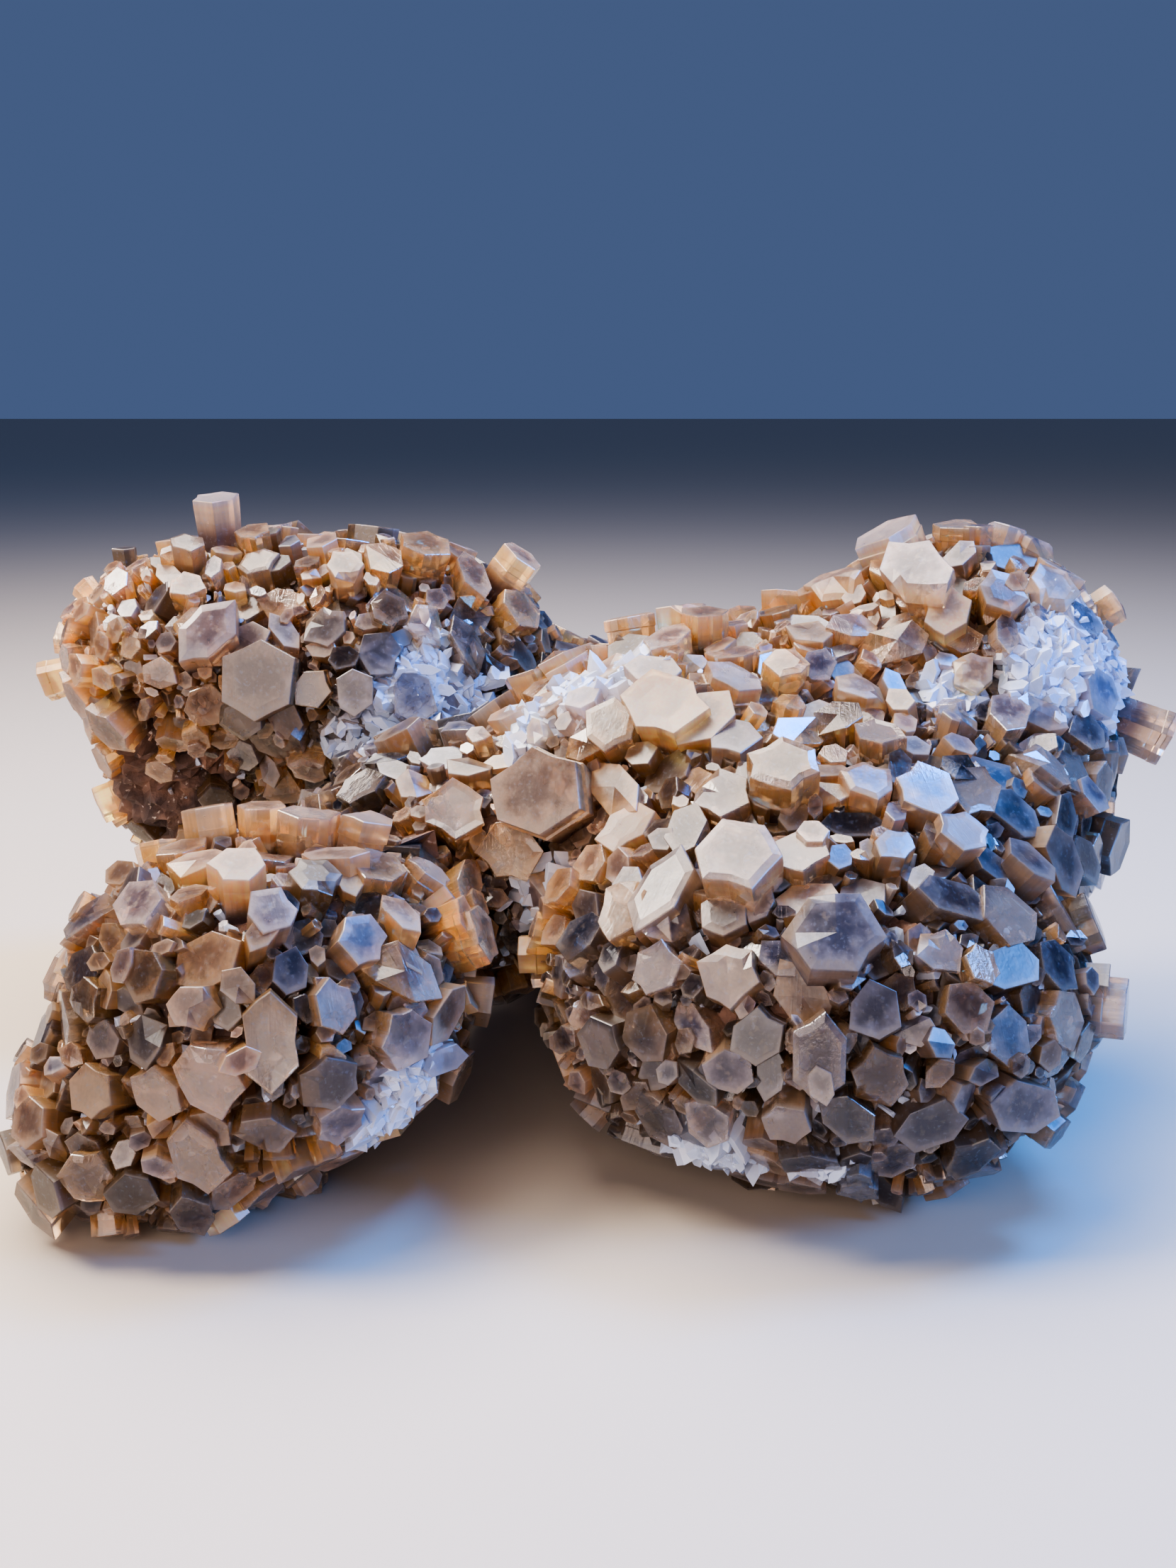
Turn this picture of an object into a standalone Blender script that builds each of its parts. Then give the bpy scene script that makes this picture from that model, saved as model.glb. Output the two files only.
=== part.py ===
"""A loose aragonite cluster of the kind called a sputnik: short six-sided crystals that radiate from a
handful of rounded lobes. They grew into each other, so the whole cluster is one solid, and it rests on
the flat ends of its lowest crystals.

The sizes in this file are millimetres and degrees, and the mesh is in metres with +Z up. The mesh's
origin is under the middle of the cluster, on the surface that it rests on; +X is to its right and -Y is
its front. A direction on a lobe is a turn (0 faces the front, 90 the right) and a lift above the
horizontal.
"""

import math
from collections import namedtuple

import bmesh
import bpy
import numpy as np
from mathutils import Matrix, Vector

MM = 0.001

# ---- driving dimensions -------------------------------------------------------------------------
# A lobe is an ellipsoid: the rounded surface that the ends of its crystals reach. Widest is the
# width of the largest crystal that grows on it by itself.
Lobe = namedtuple("Lobe", "centre radii widest")
LOBES = {
    "saddle": Lobe((10, -6, 47.5), (27, 23, 19.5), 8.5),
    "core": Lobe((-20, -8, 34), (24, 22, 18), 7.0),
    "front_left": Lobe((-41, -43, 26.5), (26.5, 24.5, 20.5), 8.0),
    "front_left_toe": Lobe((-55, -47, 12.5), (19.5, 20, 13.5), 7.5),
    "right": Lobe((32, -39, 26), (34, 27, 23), 8.0),
    "right_breast": Lobe((20, -25, 36), (21, 21, 19), 8.0),
    "right_shoulder": Lobe((45, -22, 39), (25, 22, 18), 8.0),
    "right_flank": Lobe((12, -38, 25), (17, 20, 17), 7.0),
    "right_heel": Lobe((37, -40, 17), (22, 21, 14), 8.0),
    "right_bridge": Lobe((34, 2, 51), (19, 21, 18.5), 8.0),
    "right_neck": Lobe((61, -6, 42), (17, 17, 17), 8.0),
    "upper_right": Lobe((57, 8, 59.5), (23, 22, 21), 8.5),
    "back_left": Lobe((-42, 30, 56.5), (36.5, 26, 21.5), 8.0),
    "back_left_tip": Lobe((-65, 26, 58.8), (20, 19, 17.5), 6.0),
    "back_left_root": Lobe((-66, 31, 40), (15.5, 15, 17), 5.5),
    "rear": Lobe((4, 34, 30), (32, 28, 28), 8.5),
}
CENTRES = np.array([lobe.centre for lobe in LOBES.values()], float)
RADII = np.array([lobe.radii for lobe in LOBES.values()], float)
WIDEST = np.array([lobe.widest for lobe in LOBES.values()])
MIDDLE = (-0.35, -3.92)  # the middle of the cluster's width and depth, in the frame of the lobes
BLEND = 3.0  # how far the creases between lobes are rounded
SWELL_HEIGHT = 0.9  # how far the surface swells in and out, how long its waves are, and how many
SWELL_LENGTH = 34.0
SWELL_WAVES = 9
SWELL_SEED = 5
SKIN_DEPTH = 2.4  # the packed small crystals between the large ones end this far below that surface
LOBE_FACETS = 44  # the flat ends that stand for the small crystals of one lobe
FACET_NUDGE = 0.06  # how unevenly those ends face, in radians
BLOCK_SIZE = 3  # the block that a lobe is cut from, in radii
ROOT_DEPTH = 9.0  # how far below that surface a crystal starts
ROOT_TAPER = 0.8  # a crystal's width where it starts, as a share of its end's
FLOOR_GAP = 0.5  # what the cluster doesn't stand on stays this far above the surface

# The crystals that the cluster stands on: where the flat end is, its width, and its roll.
Foot = namedtuple("Foot", "x y width roll")
FEET = (
    Foot(-57, -48, 6.5, 10),
    Foot(-38, -46, 7.0, 35),
    Foot(23, -44, 7.5, 0),
    Foot(44, -39, 7.0, 20),
    Foot(-6, 37, 7.5, 15),
    Foot(17, 41, 7.0, 40),
)

# The largest crystals of each lobe. Width is across the corners of the flat end, rise is how far
# that end stands beyond the lobe's surface, roll turns its corners, and stretch lengthens it.
Large = namedtuple("Large", "turn lift width rise roll stretch", defaults=(1.0,))
LARGE = {
    "saddle": (
        Large(-32, 0, 13.5, 7.0, 15),
        Large(2, 36, 12.0, 4.0, 20),
        Large(-16, 30, 8.0, 3.0, 0),
        Large(-93, 26, 8.5, 2.0, 10),
        Large(32, 46, 8.0, 2.5, 40, 1.2),
        Large(62, 41, 6.5, 3.5, 30),
        Large(22, -8, 8.0, 1.5, 25),
        Large(150, 72, 8.0, 5.0, 30),
        Large(100, 75, 7.5, 4.5, 10),
        Large(-152, 76, 8.0, 4.0, 20),
        Large(79, 0, 7.0, 2.0, 10),
    ),
    "front_left": (
        Large(9, 10, 8.5, 2.5, 0, 1.3),
        Large(-6, -2, 8.8, 2.0, 25, 1.1),
        Large(84, 22, 9.0, 4.0, 30),
        Large(38, 36, 7.0, 2.0, 20),
        Large(43, 4, 7.5, 3.0, 35),
        Large(24, 18, 5.5, 2.5, 0, 1.15),
        Large(22, -6, 7.5, 2.0, 10),
        Large(-5, 58, 6.8, 3.5, 25),
        Large(9, 46, 6.5, 2.0, 30),
        Large(-110, 72, 6.5, 4.5, 15),
        Large(-149, 86, 6.5, 4.5, 0),
        Large(90, 79, 7.5, 4.5, 20),
        Large(103, 64, 7.5, 4.5, 30),
        Large(-46, 14, 6.5, 2.0, 10),
        Large(32, 60, 7.0, 2.0, 5),
        Large(-10, 20, 5.5, 2.5, 30),
        Large(24, -20, 6.5, 2.0, 0),
        Large(96, 44, 7.0, 2.0, 15),
        Large(-20, -9, 7.0, 2.0, 0),
        Large(6, -20, 7.5, 2.0, 35),
    ),
    "front_left_toe": (
        Large(-12, 39, 7.0, 2.5, 20),
        Large(-14, 0, 7.0, 2.0, 30),
        Large(28, 16, 8.0, 2.5, 10, 1.2),
        Large(-39, 18, 6.0, 2.5, 15),
        Large(-62, -8, 6.5, 1.5, 0),
    ),
    "right": (
        Large(-100, 46, 8.5, 1.5, 20),
        Large(-56, 40, 9.0, 3.0, 0, 1.35),
        Large(-62, 32, 8.0, 3.0, 10, 1.2),
        Large(-40, 53, 11.5, 5.0, 30),
        Large(-112, 78, 9.5, 5.0, 5),
        Large(-102, 66, 8.5, 2.0, 15),
        Large(-6, 34, 11.5, 6.0, 30),
        Large(106, 70, 8.2, 3.0, 0),
        Large(60, 62, 7.2, 3.5, 25),
        Large(22, 64, 5.5, 2.5, 10),
        Large(110, 83, 7.2, 2.5, 0),
        Large(48, 38, 9.0, 1.5, 20),
        Large(28, 26, 4.8, 2.5, 5, 1.2),
        Large(20, 32, 6.0, 1.5, 30),
        Large(-8, 4, 8.0, 2.5, 0, 1.3),
        Large(4, -2, 7.5, 1.5, 15),
        Large(49, 6, 8.0, 1.5, 10),
        Large(-28, 23, 8.0, 2.5, 20),
        Large(-46, 21, 7.0, 1.5, 0),
        Large(-50, 34, 6.5, 1.5, 25),
        Large(-36, 40, 6.5, 1.0, 10),
        Large(55, 20, 7.5, 1.0, 30),
        Large(-22, 64, 7.0, 2.0, 15),
        Large(-55, -2, 7.5, 2.5, 30),
        Large(-14, -16, 6.5, 2.0, 20),
        Large(46, -25, 5.5, 4.5, 0),
        Large(-20, 8, 7.0, 1.5, 5),
        Large(76, -2, 8.0, 4.0, 30),
        Large(90, 20, 8.0, 3.0, 10),
        Large(4, -42, 6.0, 2.5, 0),
        Large(116, 58, 8.5, 2.5, 30),
    ),
    "right_neck": (
        Large(50, -8, 9.5, 3.5, 30),
        Large(74, -16, 8.0, 3.0, 10),
        Large(14, 24, 8.0, 2.0, 0),
    ),
    "upper_right": (
        Large(-92, 64, 11.5, 4.5, 10),
        Large(-36, 49, 11.5, 4.5, 45, 1.35),
        Large(-16, 34, 8.0, 3.0, 0),
        Large(-76, 34, 9.0, 3.5, 30),
        Large(8, 42, 7.5, 3.0, 15, 1.1),
        Large(36, 42, 8.5, 2.5, 0),
        Large(-14, 86, 9.0, 3.0, 35),
        Large(87, 74, 6.5, 3.5, 20),
        Large(84, 63, 7.0, 3.0, 0),
        Large(88, 25, 6.5, 4.0, 30),
        Large(78, -14, 9.0, 9.5, 20),
        Large(-6, 10, 6.5, 2.0, 0),
        Large(40, 0, 8.0, 2.0, 0),
    ),
    "back_left": (
        Large(-28, 20, 9.5, 6.0, -40, 1.25),
        Large(-12, 6, 12.5, 5.0, 0),
        Large(10, 50, 6.5, 3.5, 30, 1.2),
        Large(20, 32, 6.0, 4.0, 0),
        Large(31, 28, 7.5, 2.0, 25),
        Large(3, 28, 7.5, 2.0, 10),
        Large(10, 2, 6.5, 3.0, 0, 1.2),
        Large(0, 4, 6.5, 2.0, 20),
        Large(52, 58, 9.0, 4.0, 30),
        Large(66, 28, 8.5, 2.5, 10),
        Large(99, 2, 8.0, 2.0, 0),
        Large(79, 40, 8.0, 6.5, 30),
        Large(79, 38, 7.5, 2.0, 15),
        Large(16, 17, 7.0, 2.0, 35),
        Large(-3, -31, 6.5, 2.0, 5),
        Large(-30, 56, 7.0, 2.0, 0),
    ),
    "back_left_tip": (
        Large(-23, -20, 7.5, 5.0, 30, 1.3),
        Large(42, -12, 7.5, 3.0, 0),
        Large(10, 46, 6.0, 2.0, 10),
        Large(14, 24, 6.5, 2.0, 20),
        Large(80, 74, 7.5, 9.0, 30),
        Large(-88, -8, 7.0, 6.0, 0),
        Large(11, 66, 6.0, 4.5, 10),
        Large(80, 52, 6.0, 4.0, 40),
    ),
    "core": (
        Large(23, 21, 9.0, 2.0, 30),
        Large(5, 35, 9.5, 3.0, 0),
        Large(-39, 44, 7.0, 2.0, 20),
    ),
    "right_shoulder": (
        Large(68, 46, 9.0, 2.5, 15),
    ),
}

# The rest grow by themselves, each at the roomiest of a few free places. Two ends stay apart by at
# least CROWDING times the sum of their half widths.
GROWN_BETWEEN = 142
PLACES_TRIED = 60
CROWDING = 0.92
GROWN_WIDTHS = (0.8, 1.1)  # their width, as a share of the widest on their lobe
GROWN_RISES = (-0.5, 3.0)
GROWN_STRETCHES = (1.0, 1.4)
LEAN = 12.0  # degrees that a crystal may lean away from the surface normal
UNEVEN = 0.13  # how much the corners of an end differ in their distance from its middle
SKEW = 7.0  # degrees that a corner may be turned out of its place
SEED = 17

# Crystals ready to be built, one row for each: the middle of the end and the axis in millimetres, the
# roll about that axis, which also turns the way the stretch goes, and for each of the six corners its
# share of the half width and its angle in degrees.
Crystals = namedtuple("Crystals", "end axis width stretch roll depth corners angles")


# ---- where the crystals grow --------------------------------------------------------------------
def unit(vectors):
    return vectors / np.linalg.norm(vectors, axis=-1, keepdims=True)


def direction(turn, lift):
    """Unit vectors for turns and lifts in degrees."""
    turn, lift = np.radians(turn), np.radians(lift)
    return np.stack((np.sin(turn) * np.cos(lift), -np.cos(turn) * np.cos(lift), np.sin(lift)), -1)


def swell(points):
    """How far growth runs ahead at each point: the sum of a few plane waves in random directions."""
    random = np.random.RandomState(SWELL_SEED)
    toward = unit(random.normal(size=(SWELL_WAVES, 3)))
    length = SWELL_LENGTH * random.uniform(0.7, 1.5, SWELL_WAVES)
    phase = random.uniform(0, 2 * math.pi, SWELL_WAVES)
    waves = np.sin(points @ (toward * (2 * math.pi / length)[:, None]).T + phase)
    return SWELL_HEIGHT * waves.sum(axis=1) / math.sqrt(SWELL_WAVES)


def outside(points):
    """About how far each point is outside the cluster's surface. The distance to one ellipsoid is its
    scaled distance less one, over its slope. The lobes' distances meet in a soft minimum, which
    rounds the creases between them, and the swell pushes the whole surface in and out."""
    offsets = points[:, None] - CENTRES
    near = np.linalg.norm(offsets / RADII, axis=2)
    slope = np.linalg.norm(offsets / RADII**2, axis=2)
    apart = near * (near - 1) / np.maximum(slope, 1e-6)
    return -BLEND * np.log(np.exp(-apart / BLEND).sum(axis=1)) - swell(points)


def uphill(points, step=0.1):
    """The gradient of the distance outside, by differences along the three axes."""
    steps = np.eye(3) * step
    return np.stack([(outside(points + s) - outside(points - s)) / (2 * step) for s in steps], -1)


def settled(points):
    """The points moved straight onto the surface, in a few Newton steps, and the normals there."""
    for _ in range(3):
        slope = uphill(points)
        points = points - outside(points)[:, None] * slope / (slope**2).sum(axis=1)[:, None]
    return points, unit(uphill(points))


def grown_at(rng, point, axis, width, rise, roll, stretch):
    """Crystals whose ends stand a rise above their points. One that would touch the floor is pulled
    back, and left out where that would bury it. Returns them and which of the points kept theirs."""
    reach = width / 2 * (1 + UNEVEN) * stretch * np.sqrt(np.maximum(0, 1 - axis[:, 2] ** 2))
    short = FLOOR_GAP - (point[:, 2] + axis[:, 2] * rise - reach)
    lowered = rise - short / np.maximum(-axis[:, 2], 0.2)
    kept = (short <= 0) | ((axis[:, 2] < -0.2) & (lowered > -SKIN_DEPTH / 2))
    rise = np.where(short > 0, lowered, rise)
    corners = 1 + rng.uniform(-UNEVEN, UNEVEN, (len(width), 6))
    angles = 60.0 * np.arange(6) + rng.uniform(-SKEW, SKEW, (len(width), 6))
    end = point + axis * rise[:, None]
    grown = Crystals(end, axis, width, stretch, roll, ROOT_DEPTH + rise, corners, angles)
    return Crystals(*(rows[kept] for rows in grown)), kept


def feet():
    """The crystals that the cluster stands on, straight down and with regular ends."""
    x, y, width, roll = np.array(FEET, float).T
    end = np.stack((x, y, np.zeros(len(x))), axis=1)
    axis = np.tile((0.0, 0.0, -1.0), (len(x), 1))
    one, angles = np.ones(len(x)), np.tile(60.0 * np.arange(6), (len(x), 1))
    return Crystals(end, axis, width, one, roll, ROOT_DEPTH * one, np.ones((len(x), 6)), angles)


def placed_crystals(rng):
    """The largest crystals, each on the surface over the place where its lobe alone would have it."""
    names = list(LOBES)
    lobe = np.concatenate([np.full(len(rows), names.index(name)) for name, rows in LARGE.items()])
    turn, lift, width, rise, roll, stretch = np.concatenate(
        [np.array(rows, float) for rows in LARGE.values()]
    ).T
    point, normal = settled(CENTRES[lobe] + direction(turn, lift) * RADII[lobe])
    return grown_at(rng, point, normal, width, rise, roll, stretch)[0]


def thrown(rng, tries, widths, rises, lean, stretches):
    """Crystals at random places of random lobes, without those that are buried in another lobe."""
    areas = np.prod(RADII, axis=1) ** (2 / 3)
    lobe = rng.choice(len(LOBES), tries, p=areas / areas.sum())
    point = CENTRES[lobe] + unit(rng.normal(size=(tries, 3))) * RADII[lobe]
    buried = (((point[:, None] - CENTRES) / RADII) ** 2).sum(axis=2) < 0.94
    buried[np.arange(tries), lobe] = False
    point, lobe = point[~buried.any(axis=1)], lobe[~buried.any(axis=1)]
    point, normal = settled(point)
    count = len(point)
    axis = unit(normal + rng.normal(size=(count, 3)) * math.tan(math.radians(lean)) / 2)
    width = WIDEST[lobe] * rng.uniform(*widths, count)
    rise, roll = rng.uniform(*rises, count), rng.uniform(0, 180, count)
    return grown_at(rng, point, axis, width, rise, roll, rng.uniform(*stretches, count))[0]


def together(*sets):
    """Several sets of crystals as one."""
    return Crystals(*(np.concatenate(rows) for rows in zip(*sets)))


def grow_between(rng, grown):
    """Adds crystals one by one, each at the roomiest of the places tried for it."""
    for _ in range(GROWN_BETWEEN):
        tried = thrown(rng, PLACES_TRIED, GROWN_WIDTHS, GROWN_RISES, LEAN, GROWN_STRETCHES)
        apart = np.linalg.norm(grown.end[:, None] - tried.end, axis=2)
        room = (2 * apart / (grown.width[:, None] + tried.width)).min(axis=0)
        best = room.argmax()
        if room[best] > CROWDING:
            grown = together(grown, Crystals(*(rows[best : best + 1] for rows in tried)))
    return grown


# ---- solids -------------------------------------------------------------------------------------
def metres(points):
    """Points in millimetres in the frame of the lobes, as metres from the mesh's origin."""
    return (np.asarray(points, float) - (*MIDDLE, 0.0)) * MM


def outlines(crystals):
    """The corners of each end in its own plane, up and across, in millimetres: an angle and a share of
    the half width for each, drawn out one way and in the other by the stretch, then turned by the roll."""
    angle, radius = np.radians(crystals.angles), crystals.width[:, None] / 2 * crystals.corners
    stretch, roll = crystals.stretch[:, None], np.radians(crystals.roll)[:, None]
    long, short = np.cos(angle) * radius * stretch, np.sin(angle) * radius / np.sqrt(stretch)
    up = np.cos(roll) * long - np.sin(roll) * short
    across = np.sin(roll) * long + np.cos(roll) * short
    return np.stack((up, across), axis=2)


def basis(axis):
    """Two unit vectors square to each axis: across, which is level, and up."""
    level = np.where(np.abs(axis[:, 2:]) > 0.95, (1.0, 0.0, 0.0), (0.0, 0.0, 1.0))
    across = unit(np.cross(axis, level))
    return across, np.cross(across, axis)


def prisms(crystals):
    """All crystals as closed six-sided prisms in one object. Each widens from its root to its end."""
    across, up = basis(crystals.axis)
    outline = outlines(crystals)
    mesh = bmesh.new()
    rings = []
    for along, scale in ((-crystals.depth, ROOT_TAPER), (np.zeros(len(crystals.width)), 1.0)):
        middle = crystals.end + crystals.axis * along[:, None]
        flat = outline[..., :1] * up[:, None] + outline[..., 1:] * across[:, None]
        rings.append(metres(middle[:, None] + flat * scale))
    for root, end in zip(*rings):
        root = [mesh.verts.new(place) for place in root]
        end = [mesh.verts.new(place) for place in end]
        mesh.faces.new(root)
        mesh.faces.new(reversed(end))
        for side in range(6):
            after = (side + 1) % 6
            mesh.faces.new((root[after], root[side], end[side], end[after]))
    return finished(mesh, "prisms")


def facet_directions(rng):
    """Directions spread evenly over the sphere by a spiral, then nudged so that no two lobes match."""
    steps = np.arange(LOBE_FACETS) + 0.5
    height = 1 - 2 * steps / LOBE_FACETS
    turn = math.pi * (1 + math.sqrt(5)) * steps
    flat = np.sqrt(1 - height**2)
    spread = np.stack((flat * np.cos(turn), flat * np.sin(turn), height), axis=1)
    return unit(spread + rng.normal(scale=FACET_NUDGE, size=spread.shape))


def cut_lobe(name, lobe, rng):
    """One lobe below its large crystals: a block cut by flats that touch its ellipsoid all round."""
    mesh = bmesh.new()
    radii = np.array(lobe.radii) - SKIN_DEPTH
    block = Matrix.Diagonal((*(BLOCK_SIZE * radii * MM), 1))
    block = Matrix.Translation(Vector(metres(lobe.centre))) @ block
    bmesh.ops.create_cube(mesh, size=1.0, matrix=block)
    for toward in facet_directions(rng):
        cut = bmesh.ops.bisect_plane(
            mesh,
            geom=mesh.verts[:] + mesh.edges[:] + mesh.faces[:],
            plane_co=metres(np.array(lobe.centre) + toward * radii),
            plane_no=unit(toward / radii),
            clear_outer=True,
        )
        rim = [part for part in cut["geom_cut"] if isinstance(part, bmesh.types.BMEdge)]
        bmesh.ops.edgenet_fill(mesh, edges=rim)
    bmesh.ops.recalc_face_normals(mesh, faces=mesh.faces[:])
    return finished(mesh, f"lobe_{name}")


def finished(mesh, name):
    """The bmesh as an object in the scene."""
    data = bpy.data.meshes.new(name)
    mesh.to_mesh(data)
    mesh.free()
    made = bpy.data.objects.new(name, data)
    bpy.context.scene.collection.objects.link(made)
    return made


def as_helper(made):
    """Keeps an object for a Boolean and out of the model."""
    made.hide_render = True
    made.display_type = "WIRE"
    return made


def join(target, helper, self_crossing=False):
    union = target.modifiers.new(f"with_{helper.name}", "BOOLEAN")
    union.operation = "UNION"
    union.solver = "EXACT"
    union.object = helper
    union.use_self = self_crossing


def crystal_material():
    """Honey-coloured translucent crystal."""
    material = bpy.data.materials.new("aragonite")
    material.use_nodes = True
    surface = material.node_tree.nodes["Principled BSDF"]
    surface.inputs["Base Color"].default_value = (0.42, 0.25, 0.14, 1)
    surface.inputs["Roughness"].default_value = 0.35
    surface.inputs["Metallic"].default_value = 0.0
    surface.inputs["IOR"].default_value = 1.6
    return material


def build():
    for old in list(bpy.data.objects):
        bpy.data.objects.remove(old)
    rng = np.random.RandomState(SEED)
    crystals = grow_between(rng, together(feet(), placed_crystals(rng)))
    lobes = [cut_lobe(name, lobe, rng) for name, lobe in LOBES.items()]
    cluster = lobes[0]
    cluster.name = "crystal_cluster"
    for lobe in lobes[1:]:
        join(cluster, as_helper(lobe))
    join(cluster, as_helper(prisms(crystals)), self_crossing=True)
    flats = cluster.modifiers.new("one_face_per_flat", "DECIMATE")
    flats.decimate_type = "DISSOLVE"
    flats.angle_limit = math.radians(0.5)
    cluster.data.materials.append(crystal_material())
    print(f"{len(crystals.width)} crystals on {len(lobes)} lobes")


build()
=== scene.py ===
# %% [markdown]
# # An aragonite sputnik
# Aragonite that grows freely in clay makes rounded clusters. Short six-sided crystals radiate from a few
# centres, push each other aside, and end in flat faces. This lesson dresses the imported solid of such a
# cluster. The solid has the lobes and the largest crystals. Here every crystal gets a surface of its own,
# with zones of colour in it, and thousands of smaller ones fill the gaps between them.

import math
from collections import namedtuple

import bpy
import numpy as np
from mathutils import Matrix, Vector


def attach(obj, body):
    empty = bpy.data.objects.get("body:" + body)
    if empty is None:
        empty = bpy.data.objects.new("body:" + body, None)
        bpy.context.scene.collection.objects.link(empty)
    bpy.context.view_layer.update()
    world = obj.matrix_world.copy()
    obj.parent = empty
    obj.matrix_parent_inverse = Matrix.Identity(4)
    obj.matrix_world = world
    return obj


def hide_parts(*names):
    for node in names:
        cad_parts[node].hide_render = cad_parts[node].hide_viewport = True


MM = 0.001
# The part has one body, and its solid is one node with one finish.
BODY = "root"
NODE = "crystal_cluster"
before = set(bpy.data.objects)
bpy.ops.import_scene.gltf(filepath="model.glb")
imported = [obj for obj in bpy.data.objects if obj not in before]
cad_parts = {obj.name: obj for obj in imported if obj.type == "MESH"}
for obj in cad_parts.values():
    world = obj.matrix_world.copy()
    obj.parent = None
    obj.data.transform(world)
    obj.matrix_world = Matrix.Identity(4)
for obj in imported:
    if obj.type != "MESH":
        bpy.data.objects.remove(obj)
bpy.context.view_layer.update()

# %% [markdown]
# ## The lobes
# The cluster is a handful of balls of crystals that met. Each ball could be a sphere, but growth is never
# even, so an ellipsoid fits better: its surface is where the ends of the crystals stand. These are the
# same lobes, in millimetres, as in the solid's source.

# %% Lobes
# The middle of each lobe, its three radii, and the width of the widest crystals that grow on it.
Lobe = namedtuple("Lobe", "centre radii widest")
LOBES = {
    "saddle": Lobe((10, -6, 47.5), (27, 23, 19.5), 8.5),
    "core": Lobe((-20, -8, 34), (24, 22, 18), 7.0),
    "front_left": Lobe((-41, -43, 26.5), (26.5, 24.5, 20.5), 8.0),
    "front_left_toe": Lobe((-55, -47, 12.5), (19.5, 20, 13.5), 7.5),
    "right": Lobe((32, -39, 26), (34, 27, 23), 8.0),
    "right_breast": Lobe((20, -25, 36), (21, 21, 19), 8.0),
    "right_shoulder": Lobe((45, -22, 39), (25, 22, 18), 8.0),
    "right_flank": Lobe((12, -38, 25), (17, 20, 17), 7.0),
    "right_heel": Lobe((37, -40, 17), (22, 21, 14), 8.0),
    "right_bridge": Lobe((34, 2, 51), (19, 21, 18.5), 8.0),
    "right_neck": Lobe((61, -6, 42), (17, 17, 17), 8.0),
    "upper_right": Lobe((57, 8, 59.5), (23, 22, 21), 8.5),
    "back_left": Lobe((-42, 30, 56.5), (36.5, 26, 21.5), 8.0),
    "back_left_tip": Lobe((-65, 26, 58.8), (20, 19, 17.5), 6.0),
    "back_left_root": Lobe((-66, 31, 40), (15.5, 15, 17), 5.5),
    "rear": Lobe((4, 34, 30), (32, 28, 28), 8.5),
}
CENTRES = np.array([lobe.centre for lobe in LOBES.values()], float)
RADII = np.array([lobe.radii for lobe in LOBES.values()], float)
WIDEST = np.array([lobe.widest for lobe in LOBES.values()])
print(len(LOBES), "lobes, the widest", RADII.max() * 2, "mm across")

# %% [markdown]
# ## Uneven growth
# No lobe of the real cluster is a perfect ellipsoid, because the clay gave way more in one place than in
# another. A texture could push the surface about, but the crystals have to follow it too. So the swell is
# a function of place: a few long waves in random directions, added up.

# %% The swell of the surface
SWELL_HEIGHT = 0.9  # mm
SWELL_LENGTH = 34.0  # mm from crest to crest, and the shares of it that the waves may have
SWELL_LENGTHS = (0.7, 1.5)
SWELL_WAVES = 9
SWELL_SEED = 5


def unit(vectors):
    """The vectors with a length of one: each divided by its own length."""
    return vectors / np.linalg.norm(vectors, axis=-1, keepdims=True)


def swell(points):
    """How far growth runs ahead at each point: the sum of a few plane waves in random directions."""
    random = np.random.RandomState(SWELL_SEED)
    toward = unit(random.normal(size=(SWELL_WAVES, 3)))
    length = SWELL_LENGTH * random.uniform(*SWELL_LENGTHS, SWELL_WAVES)
    phase = random.uniform(0, 2 * math.pi, SWELL_WAVES)
    waves = np.sin(points @ (toward * (2 * math.pi / length)[:, None]).T + phase)
    return SWELL_HEIGHT * waves.sum(axis=1) / math.sqrt(SWELL_WAVES)


print("growth at the middles of the lobes runs ahead by", np.round(swell(CENTRES), 1), "mm")

# %% [markdown]
# ## One surface over all lobes
# Ellipsoids that simply cross leave a sharp crease where they meet, and the cluster looks like a heap of
# balls. A distance field avoids that. Each lobe gives the distance from a point to its ellipsoid, and a
# soft minimum merges those distances, so that the creases fill up as crystals fill them on the real one.

# %% Distance outside the cluster
BLEND = 3.0  # mm, how far the creases between lobes are rounded


def outside(points):
    """About how far each point is outside the cluster's surface. The distance to one ellipsoid is its
    scaled distance less one, over its slope. The lobes' distances meet in a soft minimum, which
    rounds the creases between them, and the swell pushes the whole surface in and out."""
    offsets = points[:, None] - CENTRES
    near = np.linalg.norm(offsets / RADII, axis=2)
    slope = np.linalg.norm(offsets / RADII**2, axis=2)
    apart = near * (near - 1) / np.maximum(slope, 1e-6)
    return -BLEND * np.log(np.exp(-apart / BLEND).sum(axis=1)) - swell(points)


print("the lobes' own tops are", np.round(-outside(CENTRES + (0, 0, 1) * RADII), 1), "mm inside it")

# %% [markdown]
# ## Onto the surface
# Every crystal has to stand exactly on that surface. Rays cast at a mesh would find it, but a formula is
# at hand, so Newton's method is shorter: a point moves down the slope by its distance, and does so again.

# %% Settling points
NEWTON_STEPS = 3


def uphill(points, step=0.1):
    """The gradient of the distance outside, by differences along the three axes."""
    steps = np.eye(3) * step
    return np.stack([(outside(points + s) - outside(points - s)) / (2 * step) for s in steps], -1)


def settled(points):
    """The points moved straight onto the surface, in a few Newton steps, and the normals there."""
    for _ in range(NEWTON_STEPS):
        slope = uphill(points)
        points = points - outside(points)[:, None] * slope / (slope**2).sum(axis=1)[:, None]
    return points, unit(uphill(points))


tops = settled(CENTRES + (0, 0, 1) * RADII)[0][:, 2]
print("the surface over the lobes is", np.round(tops, 1), "mm above the floor")

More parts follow.
